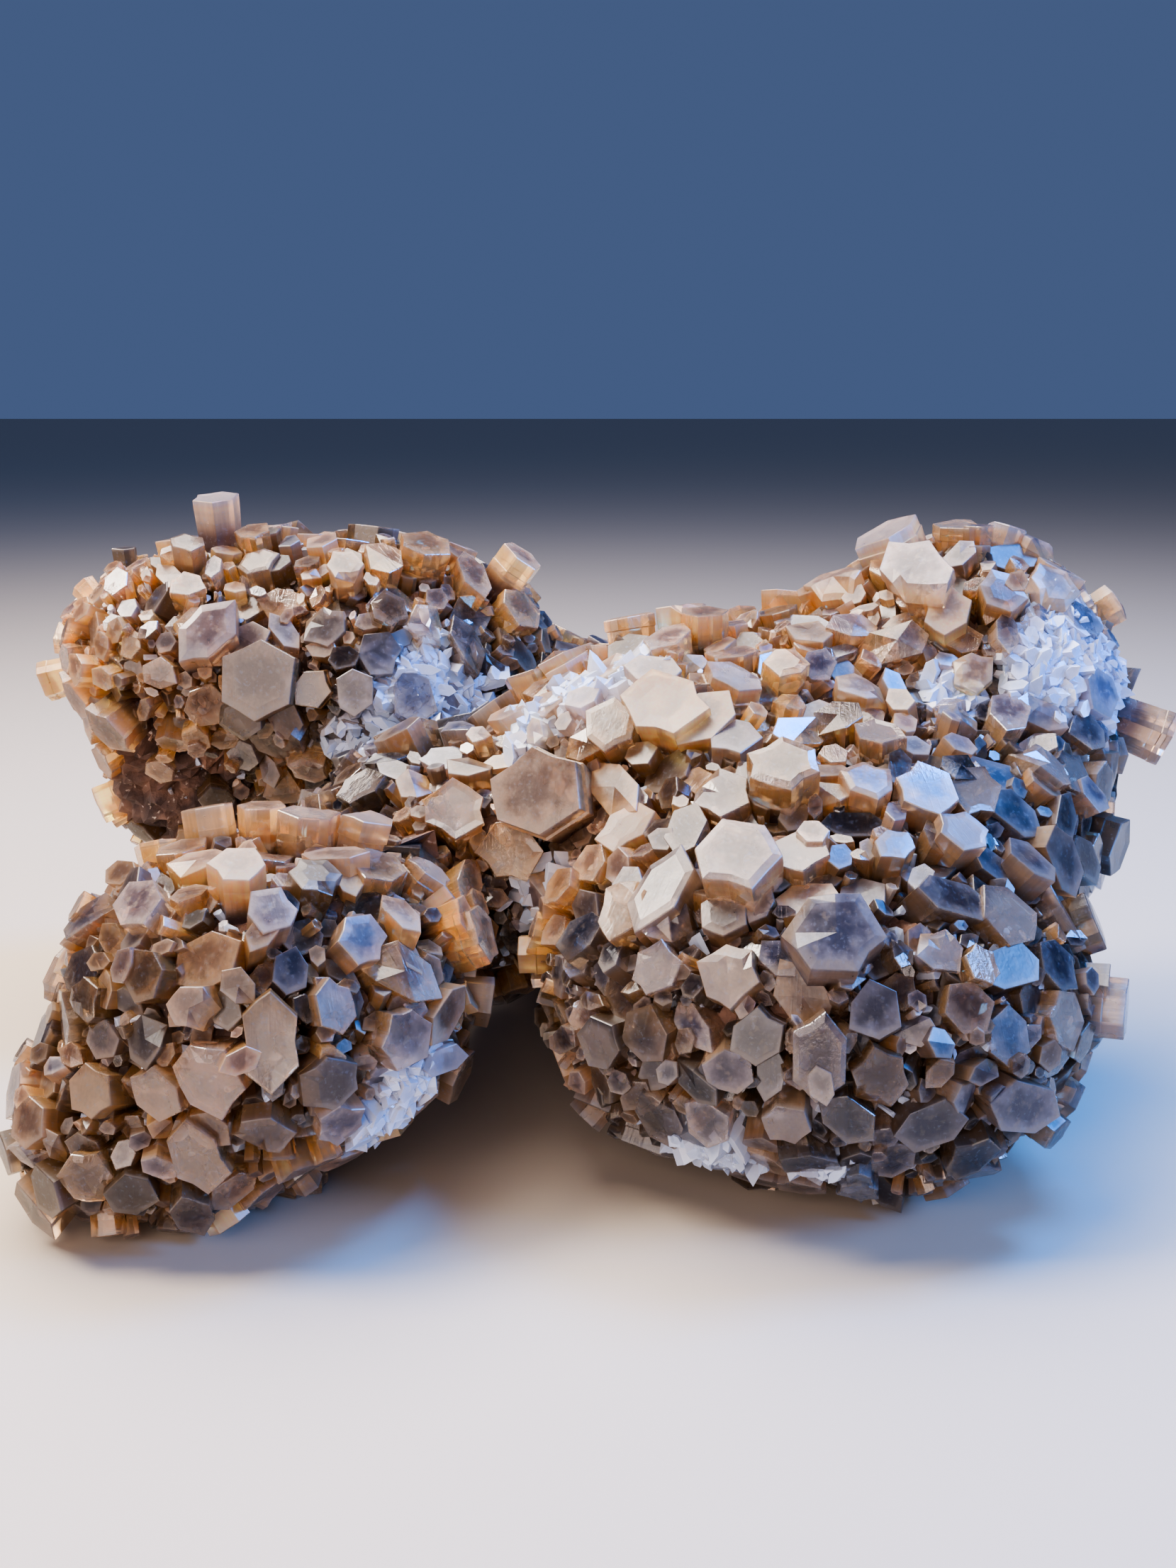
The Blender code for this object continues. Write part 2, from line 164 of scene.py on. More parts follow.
# %% [markdown]
# ## The crystals that the solid already has
# The cluster stands on the ends of six crystals, and about a hundred others stand out from the crowd.
# They could be measured back from the solid's mesh, but it is clearer to write the same sizes here and to
# let the same rule place them, so that each fine crystal wraps its plain one.

# %% Feet
# Where the flat end stands on the floor, its width, and its roll.
Foot = namedtuple("Foot", "x y width roll")
FEET = (
    Foot(-57, -48, 6.5, 10),
    Foot(-38, -46, 7.0, 35),
    Foot(23, -44, 7.5, 0),
    Foot(44, -39, 7.0, 20),
    Foot(-6, 37, 7.5, 15),
    Foot(17, 41, 7.0, 40),
)
print(len(FEET), "feet")

# %% Largest crystals of the saddle
# A turn round the lobe and a lift above the horizontal give the place on it. Width is across the corners
# of the flat end, rise is how far that end stands beyond the lobe's surface, roll turns its corners, and
# stretch lengthens it.
Large = namedtuple("Large", "turn lift width rise roll stretch", defaults=(1.0,))
LARGE = {
    "saddle": (
        Large(-32, 0, 13.5, 7.0, 15),
        Large(2, 36, 12.0, 4.0, 20),
        Large(-16, 30, 8.0, 3.0, 0),
        Large(-93, 26, 8.5, 2.0, 10),
        Large(32, 46, 8.0, 2.5, 40, 1.2),
        Large(62, 41, 6.5, 3.5, 30),
        Large(22, -8, 8.0, 1.5, 25),
        Large(150, 72, 8.0, 5.0, 30),
        Large(100, 75, 7.5, 4.5, 10),
        Large(-152, 76, 8.0, 4.0, 20),
        Large(79, 0, 7.0, 2.0, 10),
    ),
}


def large_count():
    """How many large crystals are listed up to here."""
    return sum(len(rows) for rows in LARGE.values())


print(large_count(), "crystals that stand out so far")

# %% Largest crystals of the front left
LARGE |= {
    "front_left": (
        Large(9, 10, 8.5, 2.5, 0, 1.3),
        Large(-6, -2, 8.8, 2.0, 25, 1.1),
        Large(84, 22, 9.0, 4.0, 30),
        Large(38, 36, 7.0, 2.0, 20),
        Large(43, 4, 7.5, 3.0, 35),
        Large(24, 18, 5.5, 2.5, 0, 1.15),
        Large(22, -6, 7.5, 2.0, 10),
        Large(-5, 58, 6.8, 3.5, 25),
        Large(9, 46, 6.5, 2.0, 30),
        Large(-110, 72, 6.5, 4.5, 15),
        Large(-149, 86, 6.5, 4.5, 0),
        Large(90, 79, 7.5, 4.5, 20),
        Large(103, 64, 7.5, 4.5, 30),
        Large(-46, 14, 6.5, 2.0, 10),
        Large(32, 60, 7.0, 2.0, 5),
        Large(-10, 20, 5.5, 2.5, 30),
        Large(24, -20, 6.5, 2.0, 0),
        Large(96, 44, 7.0, 2.0, 15),
        Large(-20, -9, 7.0, 2.0, 0),
        Large(6, -20, 7.5, 2.0, 35),
    ),
    "front_left_toe": (
        Large(-12, 39, 7.0, 2.5, 20),
        Large(-14, 0, 7.0, 2.0, 30),
        Large(28, 16, 8.0, 2.5, 10, 1.2),
        Large(-39, 18, 6.0, 2.5, 15),
        Large(-62, -8, 6.5, 1.5, 0),
    ),
}
print(large_count(), "crystals that stand out so far")

# %% Largest crystals of the right lobe
LARGE |= {
    "right": (
        Large(-100, 46, 8.5, 1.5, 20),
        Large(-56, 40, 9.0, 3.0, 0, 1.35),
        Large(-62, 32, 8.0, 3.0, 10, 1.2),
        Large(-40, 53, 11.5, 5.0, 30),
        Large(-112, 78, 9.5, 5.0, 5),
        Large(-102, 66, 8.5, 2.0, 15),
        Large(-6, 34, 11.5, 6.0, 30),
        Large(106, 70, 8.2, 3.0, 0),
        Large(60, 62, 7.2, 3.5, 25),
        Large(22, 64, 5.5, 2.5, 10),
        Large(110, 83, 7.2, 2.5, 0),
        Large(48, 38, 9.0, 1.5, 20),
        Large(28, 26, 4.8, 2.5, 5, 1.2),
        Large(20, 32, 6.0, 1.5, 30),
        Large(-8, 4, 8.0, 2.5, 0, 1.3),
        Large(4, -2, 7.5, 1.5, 15),
        Large(49, 6, 8.0, 1.5, 10),
        Large(-28, 23, 8.0, 2.5, 20),
        Large(-46, 21, 7.0, 1.5, 0),
        Large(-50, 34, 6.5, 1.5, 25),
        Large(-36, 40, 6.5, 1.0, 10),
        Large(55, 20, 7.5, 1.0, 30),
        Large(-22, 64, 7.0, 2.0, 15),
        Large(-55, -2, 7.5, 2.5, 30),
        Large(-14, -16, 6.5, 2.0, 20),
        Large(46, -25, 5.5, 4.5, 0),
        Large(-20, 8, 7.0, 1.5, 5),
        Large(76, -2, 8.0, 4.0, 30),
        Large(90, 20, 8.0, 3.0, 10),
        Large(4, -42, 6.0, 2.5, 0),
        Large(116, 58, 8.5, 2.5, 30),
    ),
}
print(large_count(), "crystals that stand out so far")

# %% Largest crystals of the right neck and the upper right
LARGE |= {
    "right_neck": (
        Large(50, -8, 9.5, 3.5, 30),
        Large(74, -16, 8.0, 3.0, 10),
        Large(14, 24, 8.0, 2.0, 0),
    ),
    "upper_right": (
        Large(-92, 64, 11.5, 4.5, 10),
        Large(-36, 49, 11.5, 4.5, 45, 1.35),
        Large(-16, 34, 8.0, 3.0, 0),
        Large(-76, 34, 9.0, 3.5, 30),
        Large(8, 42, 7.5, 3.0, 15, 1.1),
        Large(36, 42, 8.5, 2.5, 0),
        Large(-14, 86, 9.0, 3.0, 35),
        Large(87, 74, 6.5, 3.5, 20),
        Large(84, 63, 7.0, 3.0, 0),
        Large(88, 25, 6.5, 4.0, 30),
        Large(78, -14, 9.0, 9.5, 20),
        Large(-6, 10, 6.5, 2.0, 0),
        Large(40, 0, 8.0, 2.0, 0),
    ),
}
print(large_count(), "crystals that stand out so far")

# %% Largest crystals of the back left
LARGE |= {
    "back_left": (
        Large(-28, 20, 9.5, 6.0, -40, 1.25),
        Large(-12, 6, 12.5, 5.0, 0),
        Large(10, 50, 6.5, 3.5, 30, 1.2),
        Large(20, 32, 6.0, 4.0, 0),
        Large(31, 28, 7.5, 2.0, 25),
        Large(3, 28, 7.5, 2.0, 10),
        Large(10, 2, 6.5, 3.0, 0, 1.2),
        Large(0, 4, 6.5, 2.0, 20),
        Large(52, 58, 9.0, 4.0, 30),
        Large(66, 28, 8.5, 2.5, 10),
        Large(99, 2, 8.0, 2.0, 0),
        Large(79, 40, 8.0, 6.5, 30),
        Large(79, 38, 7.5, 2.0, 15),
        Large(16, 17, 7.0, 2.0, 35),
        Large(-3, -31, 6.5, 2.0, 5),
        Large(-30, 56, 7.0, 2.0, 0),
    ),
    "back_left_tip": (
        Large(-23, -20, 7.5, 5.0, 30, 1.3),
        Large(42, -12, 7.5, 3.0, 0),
        Large(10, 46, 6.0, 2.0, 10),
        Large(14, 24, 6.5, 2.0, 20),
        Large(80, 74, 7.5, 9.0, 30),
        Large(-88, -8, 7.0, 6.0, 0),
        Large(11, 66, 6.0, 4.5, 10),
        Large(80, 52, 6.0, 4.0, 40),
    ),
}
print(large_count(), "crystals that stand out so far")

# %% Largest crystals of the core and the right shoulder
LARGE |= {
    "core": (
        Large(23, 21, 9.0, 2.0, 30),
        Large(5, 35, 9.5, 3.0, 0),
        Large(-39, 44, 7.0, 2.0, 20),
    ),
    "right_shoulder": (
        Large(68, 46, 9.0, 2.5, 15),
    ),
}
print(large_count(), "crystals that stand out")

# %% [markdown]
# ## How a crystal finds its place
# A real crystal starts at the heart of its lobe and ends where its growth stopped. Each could be an object
# of its own, but they come by the thousand, so they are kept as columns: one array of ends, one of axes,
# and so on. Ends are uneven hexagons, and only the feet may touch the floor.

# %% Crystals as columns
# One row for each crystal: the middle of the end and the axis in millimetres, the roll about that axis,
# which also turns the way the stretch goes, the depth of the root below the end, and for each of the six
# corners its share of the half width and its angle in degrees.
Crystals = namedtuple("Crystals", "end axis width stretch roll depth corners angles")


def some(crystals, which):
    """The crystals picked by a mask or by indices."""
    return Crystals(*(rows[which] for rows in crystals))


def together(*sets):
    """Several sets of crystals as one."""
    return Crystals(*(np.concatenate(rows) for rows in zip(*sets)))


# %% Rising from the surface
ROOT_DEPTH = 9.0  # mm that a crystal starts below the cluster's surface
FLOOR_GAP = 0.5  # mm that all but the feet stay above the floor
UNEVEN = 0.13  # how much the corners of an end differ in their distance from its middle
SKEW = 7.0  # degrees that a corner may be turned out of its place
DOWNWARD = 0.2  # how far down the axis of a crystal has to point to be pulled back from the floor
DEEPEST_END = 1.2  # mm below the surface, where a crystal that is pulled back is left out instead


def grown_at(rng, point, axis, width, rise, roll, stretch):
    """Crystals whose ends stand a rise above their points. One that would touch the floor is pulled
    back along its axis, and left out where that would bury it."""
    reach = width / 2 * (1 + UNEVEN) * stretch * np.sqrt(np.maximum(0, 1 - axis[:, 2] ** 2))
    short = FLOOR_GAP - (point[:, 2] + axis[:, 2] * rise - reach)
    lowered = rise - short / np.maximum(-axis[:, 2], DOWNWARD)
    kept = (short <= 0) | ((axis[:, 2] < -DOWNWARD) & (lowered > -DEEPEST_END))
    rise = np.where(short > 0, lowered, rise)
    corners = 1 + rng.uniform(-UNEVEN, UNEVEN, (len(width), 6))
    angles = 60.0 * np.arange(6) + rng.uniform(-SKEW, SKEW, (len(width), 6))
    end = point + axis * rise[:, None]
    grown = Crystals(end, axis, width, stretch, roll, ROOT_DEPTH + rise, corners, angles)
    return some(grown, kept)


# %% Feet and placed crystals
SEED = 17


def direction(turn, lift):
    """Unit vectors for turns and lifts in degrees."""
    turn, lift = np.radians(turn), np.radians(lift)
    return np.stack((np.sin(turn) * np.cos(lift), -np.cos(turn) * np.cos(lift), np.sin(lift)), -1)


def feet():
    """The crystals that the cluster stands on, straight down and with regular ends."""
    x, y, width, roll = np.array(FEET, float).T
    end = np.stack((x, y, np.zeros(len(x))), axis=1)
    axis = np.tile((0.0, 0.0, -1.0), (len(x), 1))
    one, angles = np.ones(len(x)), np.tile(60.0 * np.arange(6), (len(x), 1))
    return Crystals(end, axis, width, one, roll, ROOT_DEPTH * one, np.ones((len(x), 6)), angles)


def placed_crystals(rng):
    """The largest crystals, each on the surface over the place where its lobe alone would have it."""
    names = list(LOBES)
    lobe = np.concatenate([np.full(len(rows), names.index(name)) for name, rows in LARGE.items()])
    turn, lift, width, rise, roll, stretch = np.concatenate(
        [np.array(rows, float) for rows in LARGE.values()]
    ).T
    point, normal = settled(CENTRES[lobe] + direction(turn, lift) * RADII[lobe])
    return grown_at(rng, point, normal, width, rise, roll, stretch)


solid_rng = np.random.RandomState(SEED)
large = together(feet(), placed_crystals(solid_rng))
print(len(large.width), "crystals placed, up to", large.end[:, 2].max().round(1), "mm above the floor")

# %% [markdown]
# ## Crystals that come by themselves
# Between the ones that stand out, the real crystals point almost straight out of their lobe. A particle
# system could scatter them, but it knows nothing of other lobes. So they are thrown: each lands at a
# random place of a random lobe, leans a little, and is dropped if it starts inside another lobe.

# %% Thrown crystals
BURIED = 0.94  # a place is buried where its squared scaled distance from another lobe is less


def thrown(rng, tries, widths, rises, lean, stretches):
    """Crystals at random places of random lobes, without those that are buried in another lobe. Widths
    are shares of the widest on the lobe, rises are in mm, and the lean is in degrees."""
    areas = np.prod(RADII, axis=1) ** (2 / 3)
    lobe = rng.choice(len(LOBES), tries, p=areas / areas.sum())
    point = CENTRES[lobe] + unit(rng.normal(size=(tries, 3))) * RADII[lobe]
    buried = (((point[:, None] - CENTRES) / RADII) ** 2).sum(axis=2) < BURIED
    buried[np.arange(tries), lobe] = False
    point, lobe = point[~buried.any(axis=1)], lobe[~buried.any(axis=1)]
    point, normal = settled(point)
    count = len(point)
    axis = unit(normal + rng.normal(size=(count, 3)) * math.tan(math.radians(lean)) / 2)
    width = WIDEST[lobe] * rng.uniform(*widths, count)
    rise, roll = rng.uniform(*rises, count), rng.uniform(0, 180, count)
    return grown_at(rng, point, axis, width, rise, roll, rng.uniform(*stretches, count))


# %% [markdown]
# ## The solid's own growth
# Between the placed crystals the solid has others that it found room for by itself. They could be read
# from its mesh too, but the rule is short: each grew at the roomiest of a few places, and the same random
# numbers find the same places again.

# %% The solid's own growth
GROWN_BETWEEN = 142
PLACES_TRIED = 60
CROWDING = 0.92  # two ends stay apart by at least this many times the sum of their half widths
GROWN_WIDTHS = (0.8, 1.1)  # shares of the widest on their lobe
GROWN_RISES = (-0.5, 3.0)  # mm
GROWN_STRETCHES = (1.0, 1.4)
GROWN_LEAN = 12.0  # degrees


def grow_between(rng, grown):
    """Adds crystals one by one, each at the roomiest of the places tried for it."""
    for _ in range(GROWN_BETWEEN):
        tried = thrown(rng, PLACES_TRIED, GROWN_WIDTHS, GROWN_RISES, GROWN_LEAN, GROWN_STRETCHES)
        apart = np.linalg.norm(grown.end[:, None] - tried.end, axis=2)
        room = (2 * apart / (grown.width[:, None] + tried.width)).min(axis=0)
        best = room.argmax()
        if room[best] > CROWDING:
            grown = together(grown, some(tried, slice(best, best + 1)))
    return grown


large = grow_between(solid_rng, large)
print(len(large.width), "crystals are in the solid")

# %% [markdown]
# ## Room for one more
# The solid leaves room between its crystals, and real ones leave none: they started together and ran out
# of space. Pushing crystals apart step by step would be slow. It is enough to let one stay only if no end
# that is already there is nearer than a share of their summed half widths. A share under one lets them
# grow into each other, as they do.

# %% Crystals that find room
def with_room(standing, coming, closeness):
    """The coming crystals that find room among the standing ones and each other, in their order."""
    count = len(standing.width)
    ends = np.concatenate((standing.end, coming.end))
    halves = np.concatenate((standing.width, coming.width)) / 2
    kept = []
    for index in range(len(coming.width)):
        half = coming.width[index] / 2
        apart = ((ends[:count] - coming.end[index]) ** 2).sum(axis=1)
        if (apart >= (closeness * (halves[:count] + half)) ** 2).all():
            ends[count], halves[count] = coming.end[index], half
            count += 1
            kept.append(index)
    return some(coming, kept)


# %% [markdown]
# ## Twins
# Aragonite likes to twin: thinner crystals with the same axis stand on the flanks of a wide one, and their
# ends make a stair beside its own. Thrown crystals hardly ever line up like that, so twins are made from
# their parent: its axis, and a place most of its half width away from the middle of its end.

# %% Twins
rng = np.random.RandomState(7)  # for all crystals from here on. Its seed makes every run the same.
TWIN_WIDTHS = (0.4, 0.7)  # shares of the parent's width
TWIN_RISES = (-3.0, 0.7)  # mm above the parent's end
TWIN_PLACES = (0.7, 1.0)  # shares of the parent's half width
TWIN_STRETCHES = (1.0, 1.4)
TWIN_LEAN = 0.05  # how far a twin's axis strays from its parent's, against a length of one
LARGE_TWINNED = 0.6  # the share of the large crystals that have a twin


def basis(axis):
    """Two unit vectors square to each axis: across, by a cross product with the upright (or with the
    X axis, where a crystal is nearly upright itself), and up, by one with the axis."""
    reference = np.where(np.abs(axis[:, 2:]) > 0.95, (1.0, 0.0, 0.0), (0.0, 0.0, 1.0))
    across = unit(np.cross(axis, reference))
    return across, np.cross(across, axis)


def twins(crystals, share):
    """Thinner crystals on the flanks of a share of the crystals."""
    parents = some(crystals, np.flatnonzero(rng.random_sample(len(crystals.width)) < share))
    count = len(parents.width)
    across, up = basis(parents.axis)
    turn = rng.uniform(0, 2 * math.pi, (count, 1))
    away = parents.width[:, None] / 2 * rng.uniform(*TWIN_PLACES, (count, 1))
    point = parents.end + (np.cos(turn) * up + np.sin(turn) * across) * away
    axis = unit(parents.axis + rng.normal(size=(count, 3)) * TWIN_LEAN)
    width = parents.width * rng.uniform(*TWIN_WIDTHS, count)
    roll, stretch = rng.uniform(0, 180, count), rng.uniform(*TWIN_STRETCHES, count)
    return grown_at(rng, point, axis, width, rng.uniform(*TWIN_RISES, count), roll, stretch)


middling = twins(large, LARGE_TWINNED)
print(len(middling.width), "twins of the largest crystals")

# %% [markdown]
# ## Packing from wide to narrow
# On the real cluster each gap between wide crystals holds narrower ones, down to a millimetre. Throwing
# all widths at once would let small crystals take the best places, so each size waits for the one before.

# %% Middling and small crystals
# How many are thrown, their widths as shares of the widest on their lobe, their rises in mm, their lean in
# degrees, their stretches, and how close their ends may come.
Size = namedtuple("Size", "tries widths rises lean stretches closeness")
SIZES = (
    Size(6000, (0.75, 1.00), (-1.0, 3.0), 18, (1.0, 1.6), 0.90),
    Size(8000, (0.55, 0.75), (-1.6, 2.6), 22, (1.0, 1.6), 0.86),
    Size(9000, (0.38, 0.55), (-1.8, 2.2), 26, (1.0, 1.6), 0.78),
)
SMALLEST = Size(20000, (0.20, 0.38), (-2.2, 1.4), 32, (1.0, 1.5), 0.68)
MIDDLING_TWINNED = 0.25  # the share of the middling crystals that have a twin


def packed(size):
    """As many crystals of a size as find room among those that are there."""
    coming = thrown(rng, size.tries, size.widths, size.rises, size.lean, size.stretches)
    return with_room(together(large, middling), coming, size.closeness)


for size in SIZES:
    found = packed(size)
    middling = together(middling, found, twins(found, MIDDLING_TWINNED))
    print(len(found.width), "crystals", size.widths, "of the widest")
small = packed(SMALLEST)
print(len(small.width), "small crystals", SMALLEST.widths, "of the widest")

# %% [markdown]
# ## Roots and clay
# A crystal is only believable if it comes out of the cluster, so one that would hang beside it is left
# out, and narrow ones start nearer to their ends. At the back left brown clay still covers the specimen.
# It could be a lump on top, but it looks truer if fewer crystals show through towards its middle.

# %% Roots and clay
SHORTEST = 2.5  # mm of length that every crystal may have, and how much more for each mm of width
LENGTH_PER_WIDTH = 1.6
HELD = 0.7  # a point this share of the way down a crystal has to be this many mm inside the cluster
HELD_DEPTH = 2
Patch = namedtuple("Patch", "place reach")
CLAY = Patch((-70, 18, 36), 19)
CLAY_COVER = 1.3  # the chance that the clay covers a crystal in its middle, cut off at one


def shorter(crystals):
    """Narrow crystals start nearer to their ends than wide ones do."""
    depth = np.minimum(crystals.depth, SHORTEST + LENGTH_PER_WIDTH * crystals.width)
    return crystals._replace(depth=depth)


def rooted(crystals):
    """Those that reach well into the cluster."""
    held = crystals.end - crystals.axis * HELD * crystals.depth[:, None]
    return some(crystals, outside(held) < -HELD_DEPTH)


def clay_share(points):
    """1 up to half the clay's reach from its middle, then less, and 0 beyond its reach."""
    apart = np.linalg.norm(points - CLAY.place, axis=1) / CLAY.reach
    return np.clip(2 - 2 * apart, 0, 1)


def out_of_clay(crystals):
    """Those that the clay doesn't cover, by chance."""
    return some(crystals, rng.random_sample(len(crystals.width)) > CLAY_COVER * clay_share(crystals.end))


middling = out_of_clay(rooted(shorter(middling)))
small = out_of_clay(rooted(shorter(small)))
print(len(middling.width), "middling crystals and", len(small.width), "small ones")

# %% [markdown]
# ## The surface of a crystal
# A plain prism looks machined. A real one has rubbed edges, a groove where twins meet, and ledges where
# growth paused. Each could be modelled by hand and copied, but copies are soon noticed. So each is a
# profile carried along the crystal's axis: an outline of corners for the angle, and a ladder of rings for
# the height. Every crystal of a set has the same number of both, so one array holds them all.

# %% Outlines
GROOVED_SIDES = 0.6  # the share of the sides that have a groove or a low ridge down their middle
GROOVES = (-0.05, 0.13)  # how far it is drawn in, as a share of its distance from the axis


def outlines(crystals, grooved):
    """The outline of each crystal, (crystals, points, 2) in mm, up and across: an angle and a share of
    the half width for each corner, drawn out by the stretch and turned by the roll. A grooved one has
    the middles of its sides too, most of them drawn in a little and a few pushed out."""
    angle, radius = np.radians(crystals.angles), crystals.width[:, None] / 2 * crystals.corners
    stretch, roll = crystals.stretch[:, None], np.radians(crystals.roll)[:, None]
    long, short = np.cos(angle) * radius * stretch, np.sin(angle) * radius / np.sqrt(stretch)
    turned = (np.cos(roll) * long - np.sin(roll) * short, np.sin(roll) * long + np.cos(roll) * short)
    corner = np.stack(turned, axis=2)
    if not grooved:
        return corner
    sides = (*radius.shape, 1)
    middle = (corner + np.roll(corner, -1, axis=1)) / 2
    drawn_in = rng.uniform(*GROOVES, sides) * (rng.random_sample(sides) < GROOVED_SIDES)
    return np.stack((corner, middle * (1 - drawn_in)), axis=2).reshape(len(corner), -1, 2)


# %% Ladders of rings
WIDEST_BEVEL = 0.15  # share of the half width
TERRACE_HEIGHTS = (-0.04, 0.06)  # shares of the half width that the middle of an end stands proud
TERRACE_WIDTHS = (0.5, 0.8)  # shares of the end's width
LEDGE_PLACES = (0.5, 3.0)  # mm below the bevel
LEDGE_STEPS = (-0.09, 0.07)  # how much wider the crystal is below its ledge, as a share
LEDGED = 0.6  # the share of the crystals with a ledge
LEDGE_HEIGHT = 0.15  # mm
ROOT_TAPER = 0.8  # the width where a crystal starts, as a share of the width above


def ladder(crystals, bevel, stepped):
    """Ring heights below the end and ring scales, (crystals, rings): the end's middle, its edge, the
    bevel's foot and the root. A stepped crystal also has a low terrace round the middle of its end,
    and two rings for a ledge on its sides."""
    count = len(crystals.width)
    half = crystals.width / 2
    bevel = np.minimum(bevel, half * WIDEST_BEVEL)
    zero, one = np.zeros(count), np.ones(count)
    rungs = [(zero, zero), (zero, 1 - bevel / half), (bevel, one)]
    low, scale = bevel, one
    if stepped:
        terrace = rng.uniform(*TERRACE_HEIGHTS, count) * half
        rungs.insert(1, (-terrace, rng.uniform(*TERRACE_WIDTHS, count)))
        rungs[0] = (-terrace, zero)
        low = bevel + rng.uniform(*LEDGE_PLACES, count)
        ledged = rng.random_sample(count) < LEDGED
        scale = 1 + np.where(ledged, rng.uniform(*LEDGE_STEPS, count), 0)
        rungs += [(low, one), (low + LEDGE_HEIGHT, scale)]
    rungs.append((np.maximum(crystals.depth, low + 1), scale * ROOT_TAPER))
    heights, scales = zip(*rungs)
    return np.stack(heights, axis=1), np.stack(scales, axis=1)


# %% [markdown]
# ## Ends that aren't quite flat
# A real end is seldom square to its sides, and often another face cuts one of its corners off. A boolean
# cut would do that, one crystal after the other. Here it is one formula for all: the height of a point is
# the lower of the tilted end and of a plane that falls off to one side.

# %% Tilted and cut ends
TILT_FADE = 2.0  # mm below the end, where the sides no longer follow its tilt
CUT_STARTS = (0.3, 0.8)  # where the cutting plane starts to fall, as shares of the half width
NO_CUT = 9  # the same for an uncut end: far outside the crystal
CUT_SLOPES = (0.35, 1.3)  # how far the plane falls for each mm sideways


def end_heights(crystals, flat, heights, tilt, cut):
    """The height of each ring point along the axis. The end is tipped by a slope that fades out below
    it, and on a share of the crystals a plane in a random direction cuts one edge of the end away: no
    ring may stand higher than that plane."""
    count = len(heights)
    slope = rng.uniform(-tilt, tilt, (count, 1, 1, 2))
    fade = np.clip(1 - heights / TILT_FADE, 0, 1)[..., None]
    along = -heights[..., None] + (flat * slope).sum(axis=3) * fade
    turn = rng.uniform(0, 2 * math.pi, count)
    toward = np.stack((np.cos(turn), np.sin(turn)), axis=1)[:, None, None]
    start = np.where(rng.random_sample(count) < cut, rng.uniform(*CUT_STARTS, count), NO_CUT)
    start = (start * crystals.width / 2)[:, None, None]
    steep = rng.uniform(*CUT_SLOPES, (count, 1, 1))
    return np.minimum(along, steep * (start - (flat * toward).sum(axis=3)))


# %% Crystal surfaces
# The points in mm. The rim is 0 in the middle of an end and 1 at its edge and on the sides. Growth is the
# place in the crystal's own frame, with the axis as its third number, moved sideways for each crystal.
Surface = namedtuple("Surface", "points rim growth")
SHIFTS = (0, 400)  # mm
# The lower half of an end counts nearer its rim, which makes it paler: a painted glow, as if light from
# above shone through the crystal.
LOWER_RIM_GLOW = 0.5  # how much nearer the rim the lower half of an end counts than the upper half


def crystal_surfaces(crystals, grooved=False, bevel=0.08, tilt=0.1, cut=0.45):
    """The rings of all crystals: outline times scale across the axis, height along it."""
    across, up = basis(crystals.axis)
    outline = outlines(crystals, grooved)
    heights, scales = ladder(crystals, bevel, grooved)
    flat = outline[:, None] * scales[..., None, None]
    along = end_heights(crystals, flat, heights, tilt, cut)
    points = (
        crystals.end[:, None, None]
        + crystals.axis[:, None, None] * along[..., None]
        + up[:, None, None] * flat[..., :1]
        + across[:, None, None] * flat[..., 1:]
    )
    # Painted glow: the lower half of an end is paler, as if light from above shone through it.
    lower = -flat[..., 0] / crystals.width[:, None, None]
    rim = np.where(heights[..., None] > 0.01, 1, scales[..., None] + LOWER_RIM_GLOW * lower)
    shift = rng.uniform(*SHIFTS, (len(heights), 1, 1, 2))
    growth = np.concatenate(((flat + shift), along[..., None]), axis=3)
    return Surface(points, rim, growth)


# %% Faces between the rings
def crystal_polygons(surface, first):
    """Vertex indices of the fan at the end's middle, the quads between rings, and the closed root. The
    middle ring has no width, so only its first point is used."""
    crystals, rings, corners = surface.rim.shape
    start = first + np.arange(crystals)[:, None, None] * (rings * corners)
    ring = np.arange(1, rings - 1)[:, None] * corners
    side = np.arange(corners)
    after = (side + 1) % corners
    quads = (ring + side, ring + corners + side, ring + corners + after, ring + after)
    quads = (start[..., None] + np.stack(quads, axis=2)).reshape(-1, 4)
    fan = np.stack((corners + side, corners + after, np.zeros_like(side)), axis=1)
    fan = (start + fan).reshape(-1, 3)
    root = start[..., 0] + (rings - 1) * corners + side[::-1]
    return [quads, fan, root]


probe = crystal_surfaces(some(large, slice(0, 1)), grooved=True)
print("a large crystal has", sum(len(group) for group in crystal_polygons(probe, 0)), "faces")

# %% [markdown]
# ## From arrays to a mesh
# Blender can take a list of faces one by one, but with hundreds of thousands it is quicker to hand over
# whole arrays: the points, the corners of all faces in a row, and where each face starts. Anything that a
# finish needs to know about a point goes along as an attribute.

# %% Mesh maker
MIDDLE = (-0.35, -3.92)  # mm, the solid's origin in the frame of the lobes


def metres(points):
    """Points in millimetres in the frame of the lobes, as metres from the solid's origin."""
    return (np.asarray(points, float) - (*MIDDLE, 0.0)) * MM


